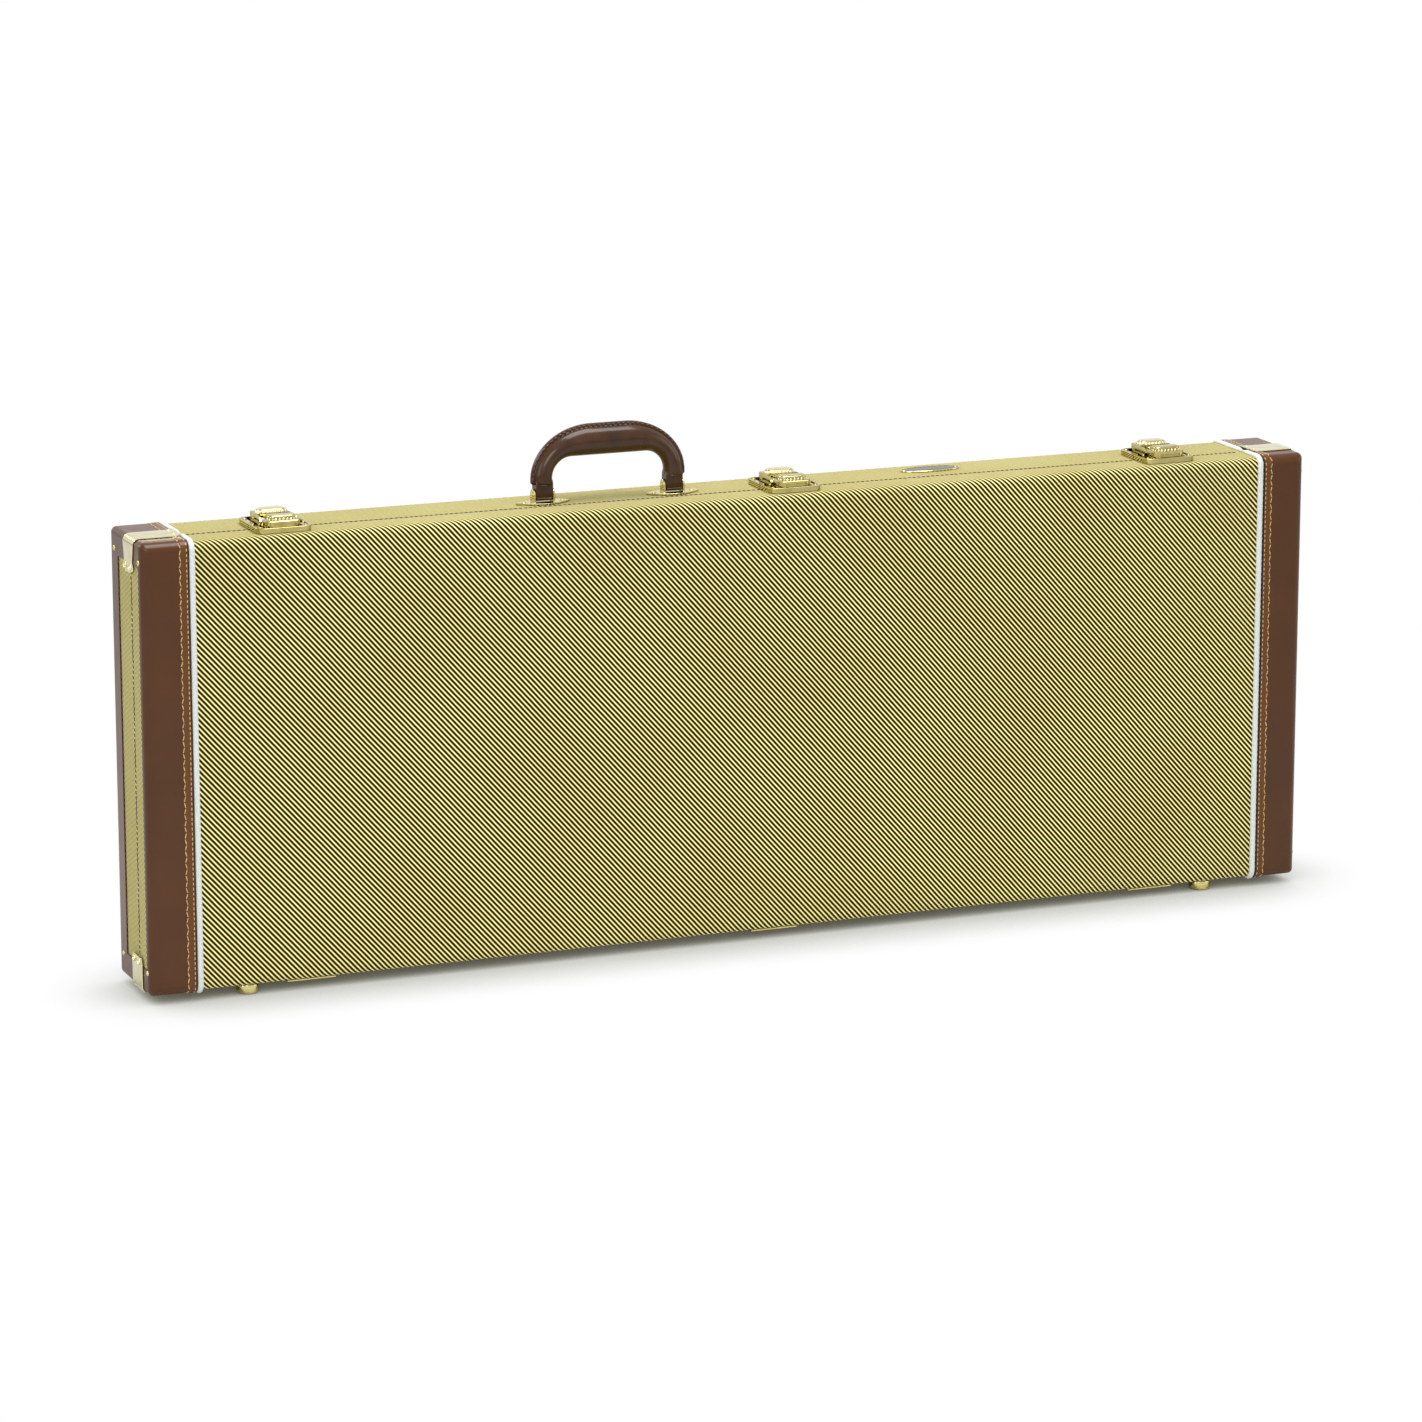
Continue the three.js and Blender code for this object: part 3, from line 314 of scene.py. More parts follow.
def makePlush():
    # short pile plush: patches brushed one way or the other, with a soft rim of light on the pile
    material, add = newMaterial("goldBrownPlush")
    place = add("ShaderNodeTexCoord")["Object"]
    strokes = {"Vector": place, "Scale": 16, "Detail": 4, "Roughness": 0.6}
    fibres = {"Vector": place, "Scale": 1100, "Detail": 3, "Roughness": 0.7}
    lie, pile = (add("ShaderNodeTexNoise", nap)[0] for nap in (strokes, fibres))
    brushed = add("ShaderNodeValToRGB", [lie], ((0.3, "#8C5C26"), (0.7, "#AA7632")))[0]
    tips = add("ShaderNodeValToRGB", [pile], ((0.3, "#5E3C16"), (0.7, "#C9944A")))[0]
    relief = {"Strength": 0.6, "Distance": 0.0008, "Height": pile}
    return finished(material, add, {
        "Base Color": add("ShaderNodeMix", {0: 0.35, 6: brushed, 7: tips}, data_type="RGBA")[2],
        "Normal": add("ShaderNodeBump", relief)[0], "Roughness": 0.9,
        "Sheen Weight": 0.7, "Sheen Roughness": 0.35, "Sheen Tint": linear("#E8C48A"),
    })


tweed = makeTweed()
leatherette = makeLeatherette()
handleLeather = makeHandleLeather()
welting = makeWelting()
# the latches take a darker copy of the brass, a painted shade; the strap brass is paler, and on the
# latch crowns it is a painted highlight
brass = makeBrass("brightBrassPlate", "#C2B672", "#D2C68A")
latchBrass = makeBrass("shadedLatchBrass", "#A99D5C", "#C2B67A")
strapBrass = makeBrass("paleStrapAndCrownHighlightBrass", "#D0C89C", "#DFD7B2")
enamel = makeEnamel()
tanThread = makeThread("tanWaxedThread", "#BE8A42", "#EBC27A")
handleThread = makeThread("brownWaxedThread", "#4E2C14", "#84583A")
darkThread = makeThread("darkWaxedThread", "#1E1508", "#352810")
plush = makePlush()
print("materials made")


# Mesh helpers

edgeAngles = {"sharp": 38, "bevelled": 40, "flat": 1}       # degrees


def gridFaces(rows, columns, wrapRows=False, wrapColumns=False):
    # quads between neighbouring points of a grid that is stored row by row
    r = np.arange(rows if wrapRows else rows - 1)[:, None]
    c = np.arange(columns if wrapColumns else columns - 1)[None, :]
    nextRow, nextColumn = (r + 1) % rows * columns, (c + 1) % columns
    quads = (r * columns + c, r * columns + nextColumn, nextRow + nextColumn, nextRow + c)
    return np.stack(quads, axis=-1).reshape(-1, 4)


def cappedFaces(rows, columns):
    # the quads of a stack of rings, with a many-sided cap on the first and the last
    quads = gridFaces(rows, columns, wrapColumns=True).tolist()
    return quads + [list(range(columns))[::-1], list(range((rows - 1) * columns, rows * columns))]


def outward(points, faces, centre):
    # True where the faces, taken together, look away from the centre
    first = points[np.array([f[:3] for f in faces])]
    normal = np.cross(first[:, 1] - first[:, 0], first[:, 2] - first[:, 0])
    return np.sum(normal * (first.mean(axis=1) - centre)) > 0


def placePiece(name, mesh, body, materials):
    for material in materials if isinstance(materials, list) else [materials]:
        mesh.materials.append(material)
    mesh.shade_smooth()
    mesh.set_sharp_from_angle(angle=math.radians(edgeAngles["sharp"]))
    piece = bpy.data.objects.new(name, mesh)
    bpy.context.scene.collection.objects.link(piece)
    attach(piece, body)
    return piece


def makePiece(name, points, faces, body, materials, slot=None, uv=None, indices=None, centre=None):
    # a mesh in metres from points in millimetres, riding on a body; open if a centre is given
    points = np.asarray(points, float).reshape(-1, 3)
    faces = [list(map(int, f)) for f in faces]
    if centre is not None and not outward(points, faces, centre):
        faces = [f[::-1] for f in faces]
    mesh = bpy.data.meshes.new(name)
    mesh.from_pydata((points * mm).tolist(), [], faces)
    if indices is not None:
        mesh.polygons.foreach_set("material_index", np.asarray(indices, np.int32))
    if uv is not None:
        loops = np.zeros(len(mesh.loops), np.int32)
        mesh.loops.foreach_get("vertex_index", loops)
        places = np.asarray(uv).reshape(-1, 2)[loops] * mm
        mesh.uv_layers.new(name="cloth").data.foreach_set("uv", places.astype(np.float32).ravel())
    if centre is None:
        shape = bmesh.new()
        shape.from_mesh(mesh)
        bmesh.ops.remove_doubles(shape, verts=shape.verts, dist=1e-6)
        bmesh.ops.recalc_face_normals(shape, faces=shape.faces)
        shape.to_mesh(mesh)
        shape.free()
    return placePiece(name, mesh, body, materials)


def soften(piece, width, segments=2):
    # rounded edges, with the flat faces kept flat in the shading
    bevel = piece.modifiers.new("edge", "BEVEL")
    bevel.width = width * mm
    bevel.segments = segments
    bevel.limit_method = "ANGLE"
    bevel.angle_limit = math.radians(edgeAngles["bevelled"])
    bevel.use_clamp_overlap = True
    piece.modifiers.new("flats", "WEIGHTED_NORMAL").keep_sharp = True


def mergedCopy(node, flatten=False):
    # a CAD node's mesh with its triangles joined, and its flat faces made whole if asked
    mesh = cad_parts[node].data.copy()
    mesh.materials.clear()
    shape = bmesh.new()
    shape.from_mesh(mesh)
    bmesh.ops.remove_doubles(shape, verts=shape.verts, dist=2e-6)
    if flatten:
        flat = math.radians(edgeAngles["flat"])
        bmesh.ops.dissolve_limit(shape, angle_limit=flat, verts=shape.verts, edges=shape.edges)
    shape.to_mesh(mesh)
    shape.free()
    return mesh


def nodeCopy(node, body, material, width, segments=2):
    # a CAD node's own form with rounded edges, standing for that node
    piece = placePiece(camel(node), mergedCopy(node, flatten=True), body, material)
    soften(piece, width, segments)
    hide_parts(node)


def roundedLoop(halfX, halfZ, radius, steps=8):
    # corner centre plus radius times (cosine, sine) through a quarter turn at each corner in turn
    turn = np.arange(4)[:, None] * quarterTurn
    angle = turn + np.linspace(0, quarterTurn, steps + 1)[None, :]
    out = np.stack([np.cos(angle), np.sin(angle)], axis=-1)
    signs = np.sign(np.stack([np.cos(turn + np.pi / 4), np.sin(turn + np.pi / 4)], axis=-1))
    centres = signs * np.array([halfX - radius, halfZ - radius])
    return (centres + radius * out).reshape(-1, 2), out.reshape(-1, 2)


def stacked(levels):
    # a closed stack of flat outlines, each given with its height
    rings = [np.column_stack([plane, np.full(len(plane), height)]) for plane, height in levels]
    return np.concatenate(rings), cappedFaces(len(rings), len(rings[0]))


def turned(profile, count):
    # a closed stack of circles: radius times (cosine, sine) at each height
    turn = np.linspace(0, fullTurn, count, endpoint=False)
    circle = np.stack([np.cos(turn), np.sin(turn)], axis=-1)
    return stacked([(radius * circle, height) for radius, height in profile])


def threadShape(length, width, height):
    # a stitch: rings of a half-buried spindle, thickest in its middle, along the first axis
    share = np.array([0.0, 0.12, 0.5, 0.88, 1.0])
    swell = np.array([0.35, 0.85, 1.0, 0.85, 0.35])
    angle = np.linspace(0, fullTurn, 6, endpoint=False)
    along = np.repeat((share - 0.5) * length, 6)
    across = (swell[:, None] * np.cos(angle) * width / 2).ravel()
    up = (swell[:, None] * np.sin(angle) * height / 2).ravel()
    return np.stack([along, across, up], axis=-1), cappedFaces(5, 6)


def domeShape(radius, height):
    # a domed head: rings whose radius follows the cosine and height the sine of a quarter turn
    angles = np.linspace(0, quarterTurn * 0.92, 6)
    rings = [(radius * np.cos(a), height * np.sin(a)) for a in angles]
    return turned([(radius, -0.25)] + rings, 16)


def rivetShape(radius):
    # a turned rivet, with a dimple in the middle: radius and height as shares of its own radius
    profile = [
        (1, -0.1), (1, 0.16), (0.88, 0.36), (0.68, 0.4), (0.5, 0.22), (0.4, 0.02), (0.2, -0.02),
    ]
    return turned([(r * radius, h * radius) for r, h in profile], 18)


def scatter(shape, origins, axes):
    # copies of a small shape: each is its points times a 3 by 3 frame, plus an origin
    base, baseFaces = shape
    axes = np.broadcast_to(np.asarray(axes, float), (len(origins), 3, 3))
    points = np.einsum("pk,nkj->npj", base, axes) + origins[:, None, :]
    shifts = range(0, len(base) * len(origins), len(base))
    faces = [[i + shift for i in face] for shift in shifts for face in baseFaces]
    return points.reshape(-1, 3), faces


def joined(parts):
    # several meshes' points and faces as one
    points, faces, shift = [], [], 0
    for some, theirs in parts:
        points.append(some)
        faces += [[i + shift for i in face] for face in theirs]
        shift += len(some)
    return np.concatenate(points), faces


def lineRun(points):
    # how far along a line each of its points lies
    steps = np.linalg.norm(np.diff(points, axis=0), axis=1)
    return np.concatenate([[0], np.cumsum(steps)])


# Case halves: one rounded block, a quarter round at the face and a wall down to the seam

def shellLoop(inset):
    # one line round the case, pinned at both ends of each straight side, so the cloth lies true
    size = np.array([case["halfLength"], case["halfHeight"]])
    corner = size - case["edgeRadius"]
    pinned = corner - case["straightMargin"]
    radius = max(case["cornerRadius"] - inset, case["leastRadius"])
    loop, out = (line.reshape(4, -1, 2) for line in roundedLoop(*(size - inset), radius))
    steps = loop.shape[1]
    rows = np.clip(np.arange(-1, steps + 1), 0, steps - 1)
    points, away = loop[:, rows], out[:, rows]
    signs = np.sign(out.sum(axis=1))
    flat = np.repeat((corner * signs)[:, None], len(rows), axis=1)
    for quarter in range(4):
        for row, axis in ((0, 1 - quarter % 2), (-1, quarter % 2)):
            place = pinned[axis] * signs[quarter, axis]
            points[quarter, row, axis] = flat[quarter, row, axis] = place
    return points.reshape(-1, 2), flat.reshape(-1, 2), away.reshape(-1, 2)


def makeShell(half):
    spec = halves[half]
    edge, wall, rim, depth = case["edgeRadius"], case["wall"], case["rimRadius"], spec["depth"]
    quarter = np.linspace(0, quarterTurn, case["arcSteps"] + 1)
    inner, margin = edge - wall, case["flatMargin"]
    # inset from the outline, and depth from the face, along the section from the face to the floor
    inset = np.concatenate([
        [edge + margin], edge * (1 - np.sin(quarter)),
        rim * (1 - np.cos(quarter)), wall - rim + rim * np.sin(quarter),
        wall + inner * (1 - np.cos(quarter)), [wall + inner + margin],
    ])
    below = np.concatenate([
        [0.0], edge * (1 - np.cos(quarter)),
        depth - rim + rim * np.sin(quarter), depth - rim + rim * np.cos(quarter),
        wall + inner * (1 - np.sin(quarter)), [wall],
    ])
    travelled = lineRun(np.stack([inset, below], axis=-1)) - margin
    rings, uvs = [], []
    for i, d, s in zip(inset, below, travelled):
        loop, flat, out = shellLoop(i)
        y = np.full(len(loop), spec["face"] + spec["inward"] * d)
        rings.append(np.stack([loop[:, 0], y, loop[:, 1] + case["middleZ"]], axis=-1))
        uvs.append((loop if s <= 0 else flat + out * s) * [spec["inward"], 1])
    columns = len(rings[0])
    lined = np.arange(len(rings) - 1) >= len(quarter) * 2
    piece = makePiece(
        f"{half}TweedShell", rings, cappedFaces(len(rings), columns), half, [tweed, plush], "tweed",
        uv=uvs, indices=[*np.repeat(lined, columns), 0, 1],
    )
    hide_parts(f"{half}_shell")


for half in halves:
    makeShell(half)
print("cloth-covered halves made")


# Leather caps round each end, with the end wall left open in the middle

leather = {
    "seat": 0.3,
    "thickness": 1.0,
    "band": 40,
    "windowInset": 20,
    "hemWidth": 7.4,
    "softCorner": 2.2,
    # the hem's section: distance from the band's edge, and height over the skin
    "hem": ((0, 0.3), (0.8, 0.5), (6.2, 0.45), (7.0, 0.15), (7.8, -0.1), (8.8, 0.15), (11.4, 0)),
}
leather["grow"] = leather["seat"] + leather["thickness"]
caseEnd = case["halfLength"] + leather["grow"]
leather["edgeX"] = caseEnd - leather["band"]


def capRow(angle, below):
    # one line of the skin from hem to hem round the end, at an angle of the edge or below it
    edge, grow = case["edgeRadius"], leather["grow"]
    hem = np.array(leather["hem"]) + [leather["edgeX"], grow]

    def inset(stand):
        return edge - (edge + stand) * math.sin(angle)

    def depth(stand):
        return edge - (edge + stand) * math.cos(angle) + below

    hemZ, hemDepth = case["halfHeight"] - inset(hem[:, 1]), depth(hem[:, 1])
    radius = max(case["cornerRadius"] - inset(grow), leather["softCorner"])
    turn = np.linspace(quarterTurn, 0, case["arcSteps"] + 1)
    endX = case["halfLength"] - inset(grow)
    arcX = endX - radius + radius * np.cos(turn)
    arcZ = case["halfHeight"] - inset(grow) - radius + radius * np.sin(turn)
    windowZ = case["halfHeight"] - leather["windowInset"]
    x = np.concatenate([hem[:, 0], arcX, [endX] * 2, arcX[::-1], hem[::-1, 0]])
    z = np.concatenate([hemZ, arcZ, [windowZ, -windowZ], -arcZ[::-1], -hemZ[::-1]])
    d = np.concatenate([hemDepth, np.full(len(turn) * 2 + 2, depth(grow)), hemDepth[::-1]])
    return x, z, d


def makeLeather(half, side, sign):
    # skin over the face's edge and down the wall, then solidified inwards
    spec = halves[half]
    steps = [(angle, 0.0) for angle in np.linspace(0, quarterTurn, case["arcSteps"] + 1)]
    steps += [(quarterTurn, spec[key] - case["edgeRadius"]) for key in ("windowDepth", "depth")]
    rings = []
    for angle, below in steps:
        x, z, d = capRow(angle, below)
        y = spec["face"] + spec["inward"] * d
        rings.append(np.stack([sign * x, y, z + case["middleZ"]], axis=-1))
    columns = len(rings[0])
    quads = gridFaces(len(rings), columns)
    straight = len(leather["hem"])
    firstWindow = straight + case["arcSteps"] + 1
    inLastRow = quads[:, 0] // columns >= len(steps) - 2
    faces = quads[~(inLastRow & (quads[:, 0] % columns == firstWindow))].tolist()
    # the part on the face: strips across the band, then one sheet round the corners
    faces += [[columns - 1 - i, columns - 2 - i, i + 1, i] for i in range(straight - 1)]
    faces.append(list(range(straight - 1, columns - straight + 1))[::-1])
    centre = np.array([sign * leather["edgeX"], case["seamY"], case["middleZ"]])
    name = f"{half}LeatherCap{side.title()}"
    piece = makePiece(name, rings, faces, half, leatherette, "leather", centre=centre)
    skin = piece.modifiers.new("skin", "SOLIDIFY")
    skin.thickness = leather["thickness"] * mm
    skin.offset = -1
    soften(piece, 0.3)
    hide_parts(f"{half}_leather_{side}")


for half in halves:
    for side, sign in ends.items():
        makeLeather(half, side, sign)
print("leather caps made")


# The line over the edges from seam to seam, which the piping and the stitches follow

def routeLength(half):
    depth, edge = halves[half]["depth"], case["edgeRadius"]
    return 2 * (depth - edge + edge * quarterTurn + case["halfHeight"] - edge)


def faceRoute(half, distance, lift):
    # points at distances from the seam, over the top edge, down the face and under
    spec, edge = halves[half], case["edgeRadius"]
    wallRun = spec["depth"] - edge
    bend = edge * quarterTurn
    faceRun = 2 * (case["halfHeight"] - edge)
    marks = np.cumsum([0, wallRun, bend, faceRun, bend, wallRun])
    s = np.clip(distance, 0, marks[-1])
    turn = sum(np.clip((s - marks[k]) / edge, 0, quarterTurn) for k in (1, 3))
    outY, outZ, zero = np.sin(turn), np.cos(turn), np.zeros_like(s)
    onWall = np.clip(s, 0, marks[1]) - np.clip(s - marks[4], 0, wallRun)
    onFace = np.clip(s - marks[2], 0, faceRun)
    below = spec["depth"] - onWall - edge * outY
    z = case["topZ"] - edge + edge * outZ - onFace
    y = spec["face"] + spec["inward"] * (below - lift * outY)
    away = np.stack([zero, -spec["inward"] * outY, outZ], axis=-1)
    along = np.stack([zero, -spec["inward"] * outZ, -outY], axis=-1)
    return np.stack([zero, y, z + lift * outZ], axis=-1), along, away


piping = {
    "width": 5,
    "height": 2.4,
    "fullness": 0.8,            # under 1 the half ellipse is fuller at its shoulders
    "pinch": 1.2,
    "thinEnd": 0.45,
    "bendReach": (-12, 8),
    "steps": (60, 14, 13),      # along it, at each bend and round its section
}
piping["centreX"] = leather["edgeX"] - leather["seat"] - piping["width"] / 2


def makePiping(half, side, sign):
    # section: half an ellipse, closed by its flat back, pinched to a round end at both seams
    length = routeLength(half)
    steps, bendSteps, roundSteps = piping["steps"]
    bend = halves[half]["depth"] + np.linspace(*piping["bendReach"], bendSteps)
    distance = np.unique(np.concatenate([np.linspace(0, length, steps), bend, length - bend]))
    point, _, away = faceRoute(half, distance, leather["seat"])
    angle = np.linspace(0, np.pi, roundSteps)
    across = np.cos(angle) * piping["width"] / 2
    height = np.sin(angle) ** piping["fullness"] * piping["height"]
    pinch = np.clip(np.minimum(distance, length - distance) / piping["pinch"], 0, 1)
    thin = piping["thinEnd"]
    swell = np.sqrt(1 - (1 - pinch) ** 2) * (1 - thin) + thin
    middle = point + sign * piping["centreX"] * unit[0]
    rings = middle[:, None] + swell[:, None, None] * (
        across[None, :, None] * unit[0] + height[None, :, None] * away[:, None]
    )
    faces = cappedFaces(len(distance), len(angle))
    piece = makePiece(f"{half}Piping{side.title()}", rings, faces, half, welting, "piping")
    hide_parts(f"{half}_piping_{side}")


# thicker than real thread, so that the stitches show
stitch = {
    "width": 0.85,
    "height": 0.8,
    "endMargin": 4,
    # distance from the band's edge, pitch, length, slant in degrees and height over the skin
    "Stitches": (leather["hemWidth"] + 0.2, 5.1, 4.4, 15, 0.1),
    "EdgeStitches": (2.1, 4.2, 2.6, 0, 0.4),
}


def makeStitchRow(kind, half, side, sign):
    # stitches end to end along the face route, leaning one way and the other in turn
    fromEdge, pitch, length, slant, lift = stitch[kind]
    count = int((routeLength(half) - 2 * stitch["endMargin"]) / pitch)
    distance = stitch["endMargin"] + (np.arange(count) + 0.5) * pitch
    point, along, away = faceRoute(half, distance, leather["grow"] + lift)
    lean = (np.radians(slant) * np.where(np.arange(count) % 2, 1, -1))[:, None]
    first = along * np.cos(lean) + unit[0] * np.sin(lean)
    axes = np.stack([first, np.cross(away, first), away], axis=1)
    origin = point + sign * (leather["edgeX"] + fromEdge) * unit[0]
    row = scatter(threadShape(length, stitch["width"], stitch["height"]), origin, axes)
    makePiece(f"{half}{kind}{side.title()}", *row, half, tanThread)


for half in halves:
    for side, sign in ends.items():
        makePiping(half, side, sign)
        makeStitchRow("Stitches", half, side, sign)
        makeStitchRow("EdgeStitches", half, side, sign)
print("piping and stitches made")


# Sewn edge along the seam: short dark stitches on the lid's side, thicker than real ones to show

seamStitch = {
    "pitch": 4.35,
    "length": 3.0,
    "width": 1.4,
    "height": 1.4,
    "fromSeam": 1.6,
    "endMargins": (4, 10),      # from the piping, and from the leather strips on the end walls
}


def makeSeamStitches():
    # one row along the seam on each wall, between the pipings and between the leather strips
    wall = (case["halfLength"], 0, case["halfHeight"])
    fromPiping, fromLeather = seamStitch["endMargins"]
    reachX = leather["edgeX"] - piping["width"] - fromPiping
    reachZ = case["halfHeight"] - leather["windowInset"] - fromLeather
    reach = (reachX, 0, reachZ)
    level = np.array([0, case["seamY"] - seamStitch["fromSeam"], case["middleZ"]])
    shape = threadShape(seamStitch["length"], seamStitch["width"], seamStitch["height"])
    rows = []
    for axis, sign in ((2, 1), (2, -1), (0, -1), (0, 1)):
        along = 2 - axis
        run = np.arange(-reach[along], reach[along], seamStitch["pitch"])
        origins = run[:, None] * unit[along] + sign * wall[axis] * unit[axis] + level
        rows.append(scatter(shape, origins, [unit[along], sign * unit[1], sign * unit[axis]]))
    makePiece("lidSeamStitches", *joined(rows), "lid", darkThread)


makeSeamStitches()


# Brass corner straps, split at the seam, with their rivets and the tacks of the leather

strap = {
    "thickness": 0.9,
    "width": 13,
    "topLength": 40,
    "drop": 27,
    "curl": 1.0,
    "curlReach": 1.6,
    "rivetRadius": 3.0,
    "smallRivet": 1.6,
    "smallRivetAt": 4.5,
    "foldBead": (1.25, 0.5),
    "foldBeads": 4,
    "steps": (10, 14, 40),      # along its top, round the fold and down the drop
}
strap["seat"] = leather["grow"] + leather["seat"]
# below the bend: shares of the drop, shares of the full width there, and the rivet's share
strapOutline = {
    "top": ([0, 0.35, 0.6, 0.7, 0.8, 0.9, 1], [1, 0.86, 0.78, 0.9, 1, 0.92, 0.45], 0.8),
    "bottom": ([0, 0.88, 1], [1, 1, 0.8], 0.84),
}


def makeStrap(half, level, side, sign):
    # a strip over the corner's arc: rings across it at each distance along
    up = 1 if level == "top" else -1
    away = -halves[half]["inward"]
    thick, corner = strap["thickness"], case["cornerRadius"]
    radius = corner + strap["seat"]
    start = caseEnd - strap["topLength"]
    run = case["halfLength"] - corner - start
    bend = radius * quarterTurn
    drop = strap["drop"] - corner
    topSteps, foldSteps, dropSteps = strap["steps"]
    s = np.unique(np.concatenate([
        np.linspace(0, run, topSteps),
        run + np.linspace(0, bend, foldSteps),
        run + bend + np.linspace(0, drop, dropSteps),
    ]))
    turn = np.clip((s - run) / radius, 0, quarterTurn)
    down = np.clip(s - run - bend, 0, drop)
    outX, outZ = np.sin(turn), np.cos(turn)
    x = start + np.clip(s, 0, run) + radius * outX
    z = case["halfHeight"] - corner + radius * outZ - down
    shares, widths, rivetShare = strapOutline[level]
    width = strap["width"] * np.interp(down / drop, shares, widths)
    # only the top strap's end curls over the piping: under the case it would foul the opening lid
    curl = strap["curl"] * np.exp(-(s / strap["curlReach"]) ** 2) * (level == "top")
    seamEdge = case["seamY"] + away * case["seamGap"] / 2
    # section: a flat strip with rounded upper edges, as shares of its width and of its thickness
    across = np.array([0, 0.03, 0.5, 0.97, 1.0, 0.97, 0.5, 0.03])
    height = np.array([0.3, 1, 1, 1, 0.3, 0, 0, 0])
    hh = height[None, :] * thick + curl[:, None]
    rings = np.stack([
        sign * (x[:, None] + outX[:, None] * hh),
        seamEdge + away * width[:, None] * across[None, :],
        case["middleZ"] + up * (z[:, None] + outZ[:, None] * hh),
    ], axis=-1)
    parts = [(rings.reshape(-1, 3), cappedFaces(len(s), len(across)))]

    def fitting(shape, where, share):
        # a small shape on the strap's outer side, at a distance along it and a share of its width
        i = int(np.argmin(np.abs(s - where)))
        normal = np.array([sign * outX[i], 0, up * outZ[i]])
        y = seamEdge + away * width[i] * share
        under = np.array([[sign * x[i], y, case["middleZ"] + up * z[i]]])
        axes = [np.cross(unit[1], normal), unit[1], normal]
        parts.append(scatter(shape, under + normal * thick, axes))

    fitting(rivetShape(strap["rivetRadius"]), run + bend + drop * rivetShare, 0.5)
    fitting(rivetShape(strap["smallRivet"]), strap["smallRivetAt"], 0.5)
    for bead in range(strap["foldBeads"]):
        share = (bead + 0.5) / strap["foldBeads"]
        fitting(domeShape(*strap["foldBead"]), run + bend / 2, share)
    name = f"{half}Strap{level.title()}{side.title()}"
    piece = makePiece(name, *joined(parts), half, strapBrass, "brass")
    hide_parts(f"{half}_strap_{level}_{side}")


tack = {
    "radius": 2.3, "height": 1.1, "fromTop": 15, "fromBottom": 18,
    "fromFace": {"lid": 7.0, "body": 13.5},
}


def makeTacks(half):
    # domed nails on the end wall that hold the leather strips at the top and bottom of the window
    spec, inset = halves[half], tack["fromFace"][half]
    edge = case["edgeRadius"] + leather["grow"]
    tilt = math.asin(max(0, (case["edgeRadius"] - inset) / edge))
    reach = case["halfLength"] - case["edgeRadius"] + edge * math.cos(tilt)
    origins, axes = [], []
    for sign in ends.values():
        normal = np.array([sign * math.cos(tilt), -spec["inward"] * math.sin(tilt), 0])
        for z in (case["topZ"] - tack["fromTop"], case["bottomZ"] + tack["fromBottom"]):
            origins.append([sign * reach, spec["face"] + spec["inward"] * inset, z])
            axes.append([np.cross(unit[2], normal), unit[2], normal])
    heads = scatter(domeShape(tack["radius"], tack["height"]), np.array(origins), axes)
    makePiece(f"{half}Tacks", *heads, half, brass, "brass")


for half in halves:
    for level in strapOutline:
        for side, sign in ends.items():
            makeStrap(half, level, side, sign)
    makeTacks(half)
print("straps and tacks made")


# Hinges and latches keep the CAD's own forms, with pressed edges rounded

places = ("left", "middle", "right")
for place in places:
    nodeCopy(f"hinge_body_leaf_{place}", "body", brass, 0.25)
    nodeCopy(f"hinge_lid_leaf_{place}", "lid", brass, 0.25)
    nodeCopy(f"hinge_pin_{place}", "body", brass, 0.2)
    nodeCopy(f"latch_base_{place}", "body", latchBrass, 0.3)
    nodeCopy(f"latch_keeper_{place}", "lid", latchBrass, 0.3)
    nodeCopy(f"latch_lever_{place}", f"lever_{place}", latchBrass, 0.5, 3)
    nodeCopy(f"latch_loop_{place}", f"loop_{place}", latchBrass, 0.35)

latchTrim = {
    "rivetRadius": 2.0,
    "rivetInset": (4.6, 6.4),
    "plateTop": 1.8,
    "leverCrown": {"half": (13.4, 7.9), "margin": 1.6, "levels": (-3.4, 0.4)},
    "hoodCrown": {"half": (12.6, 6.2), "margin": 2.2, "levels": (-4.6, -0.5)},
    "crownCorner": 7.4,
    "fluteDepth": 1.0,
    "flutePitch": 3.3,
    "fluteSteps": 8,
    "rib": {"halfX": 2.5, "corner": 1.6, "fromMiddle": 19.4, "height": 2.2},
    "baseRib": (4.6, 12.4),     # centre and half length along Y
    "keeperRib": (-24.4, 8.6),
}


def evenOutline(points, pitch, steps):
    # a closed outline cut into equal steps, a whole number of pitches round it; outward directions
    closed = np.vstack([points, points[:1]])
    run = lineRun(closed)
    count = max(3, round(run[-1] / pitch)) * steps
    where = np.arange(count) / count * run[-1]
    even = np.stack([np.interp(where, run, closed[:, k]) for k in (0, 1)], axis=-1)
    ahead = np.roll(even, -1, axis=0) - np.roll(even, 1, axis=0)
    out = np.stack([ahead[:, 1], -ahead[:, 0]], axis=-1)
    out /= np.linalg.norm(out, axis=1)[:, None]
    out *= np.sign(np.sum(out * (even - even.mean(axis=0)), axis=1).mean())
    return even, out


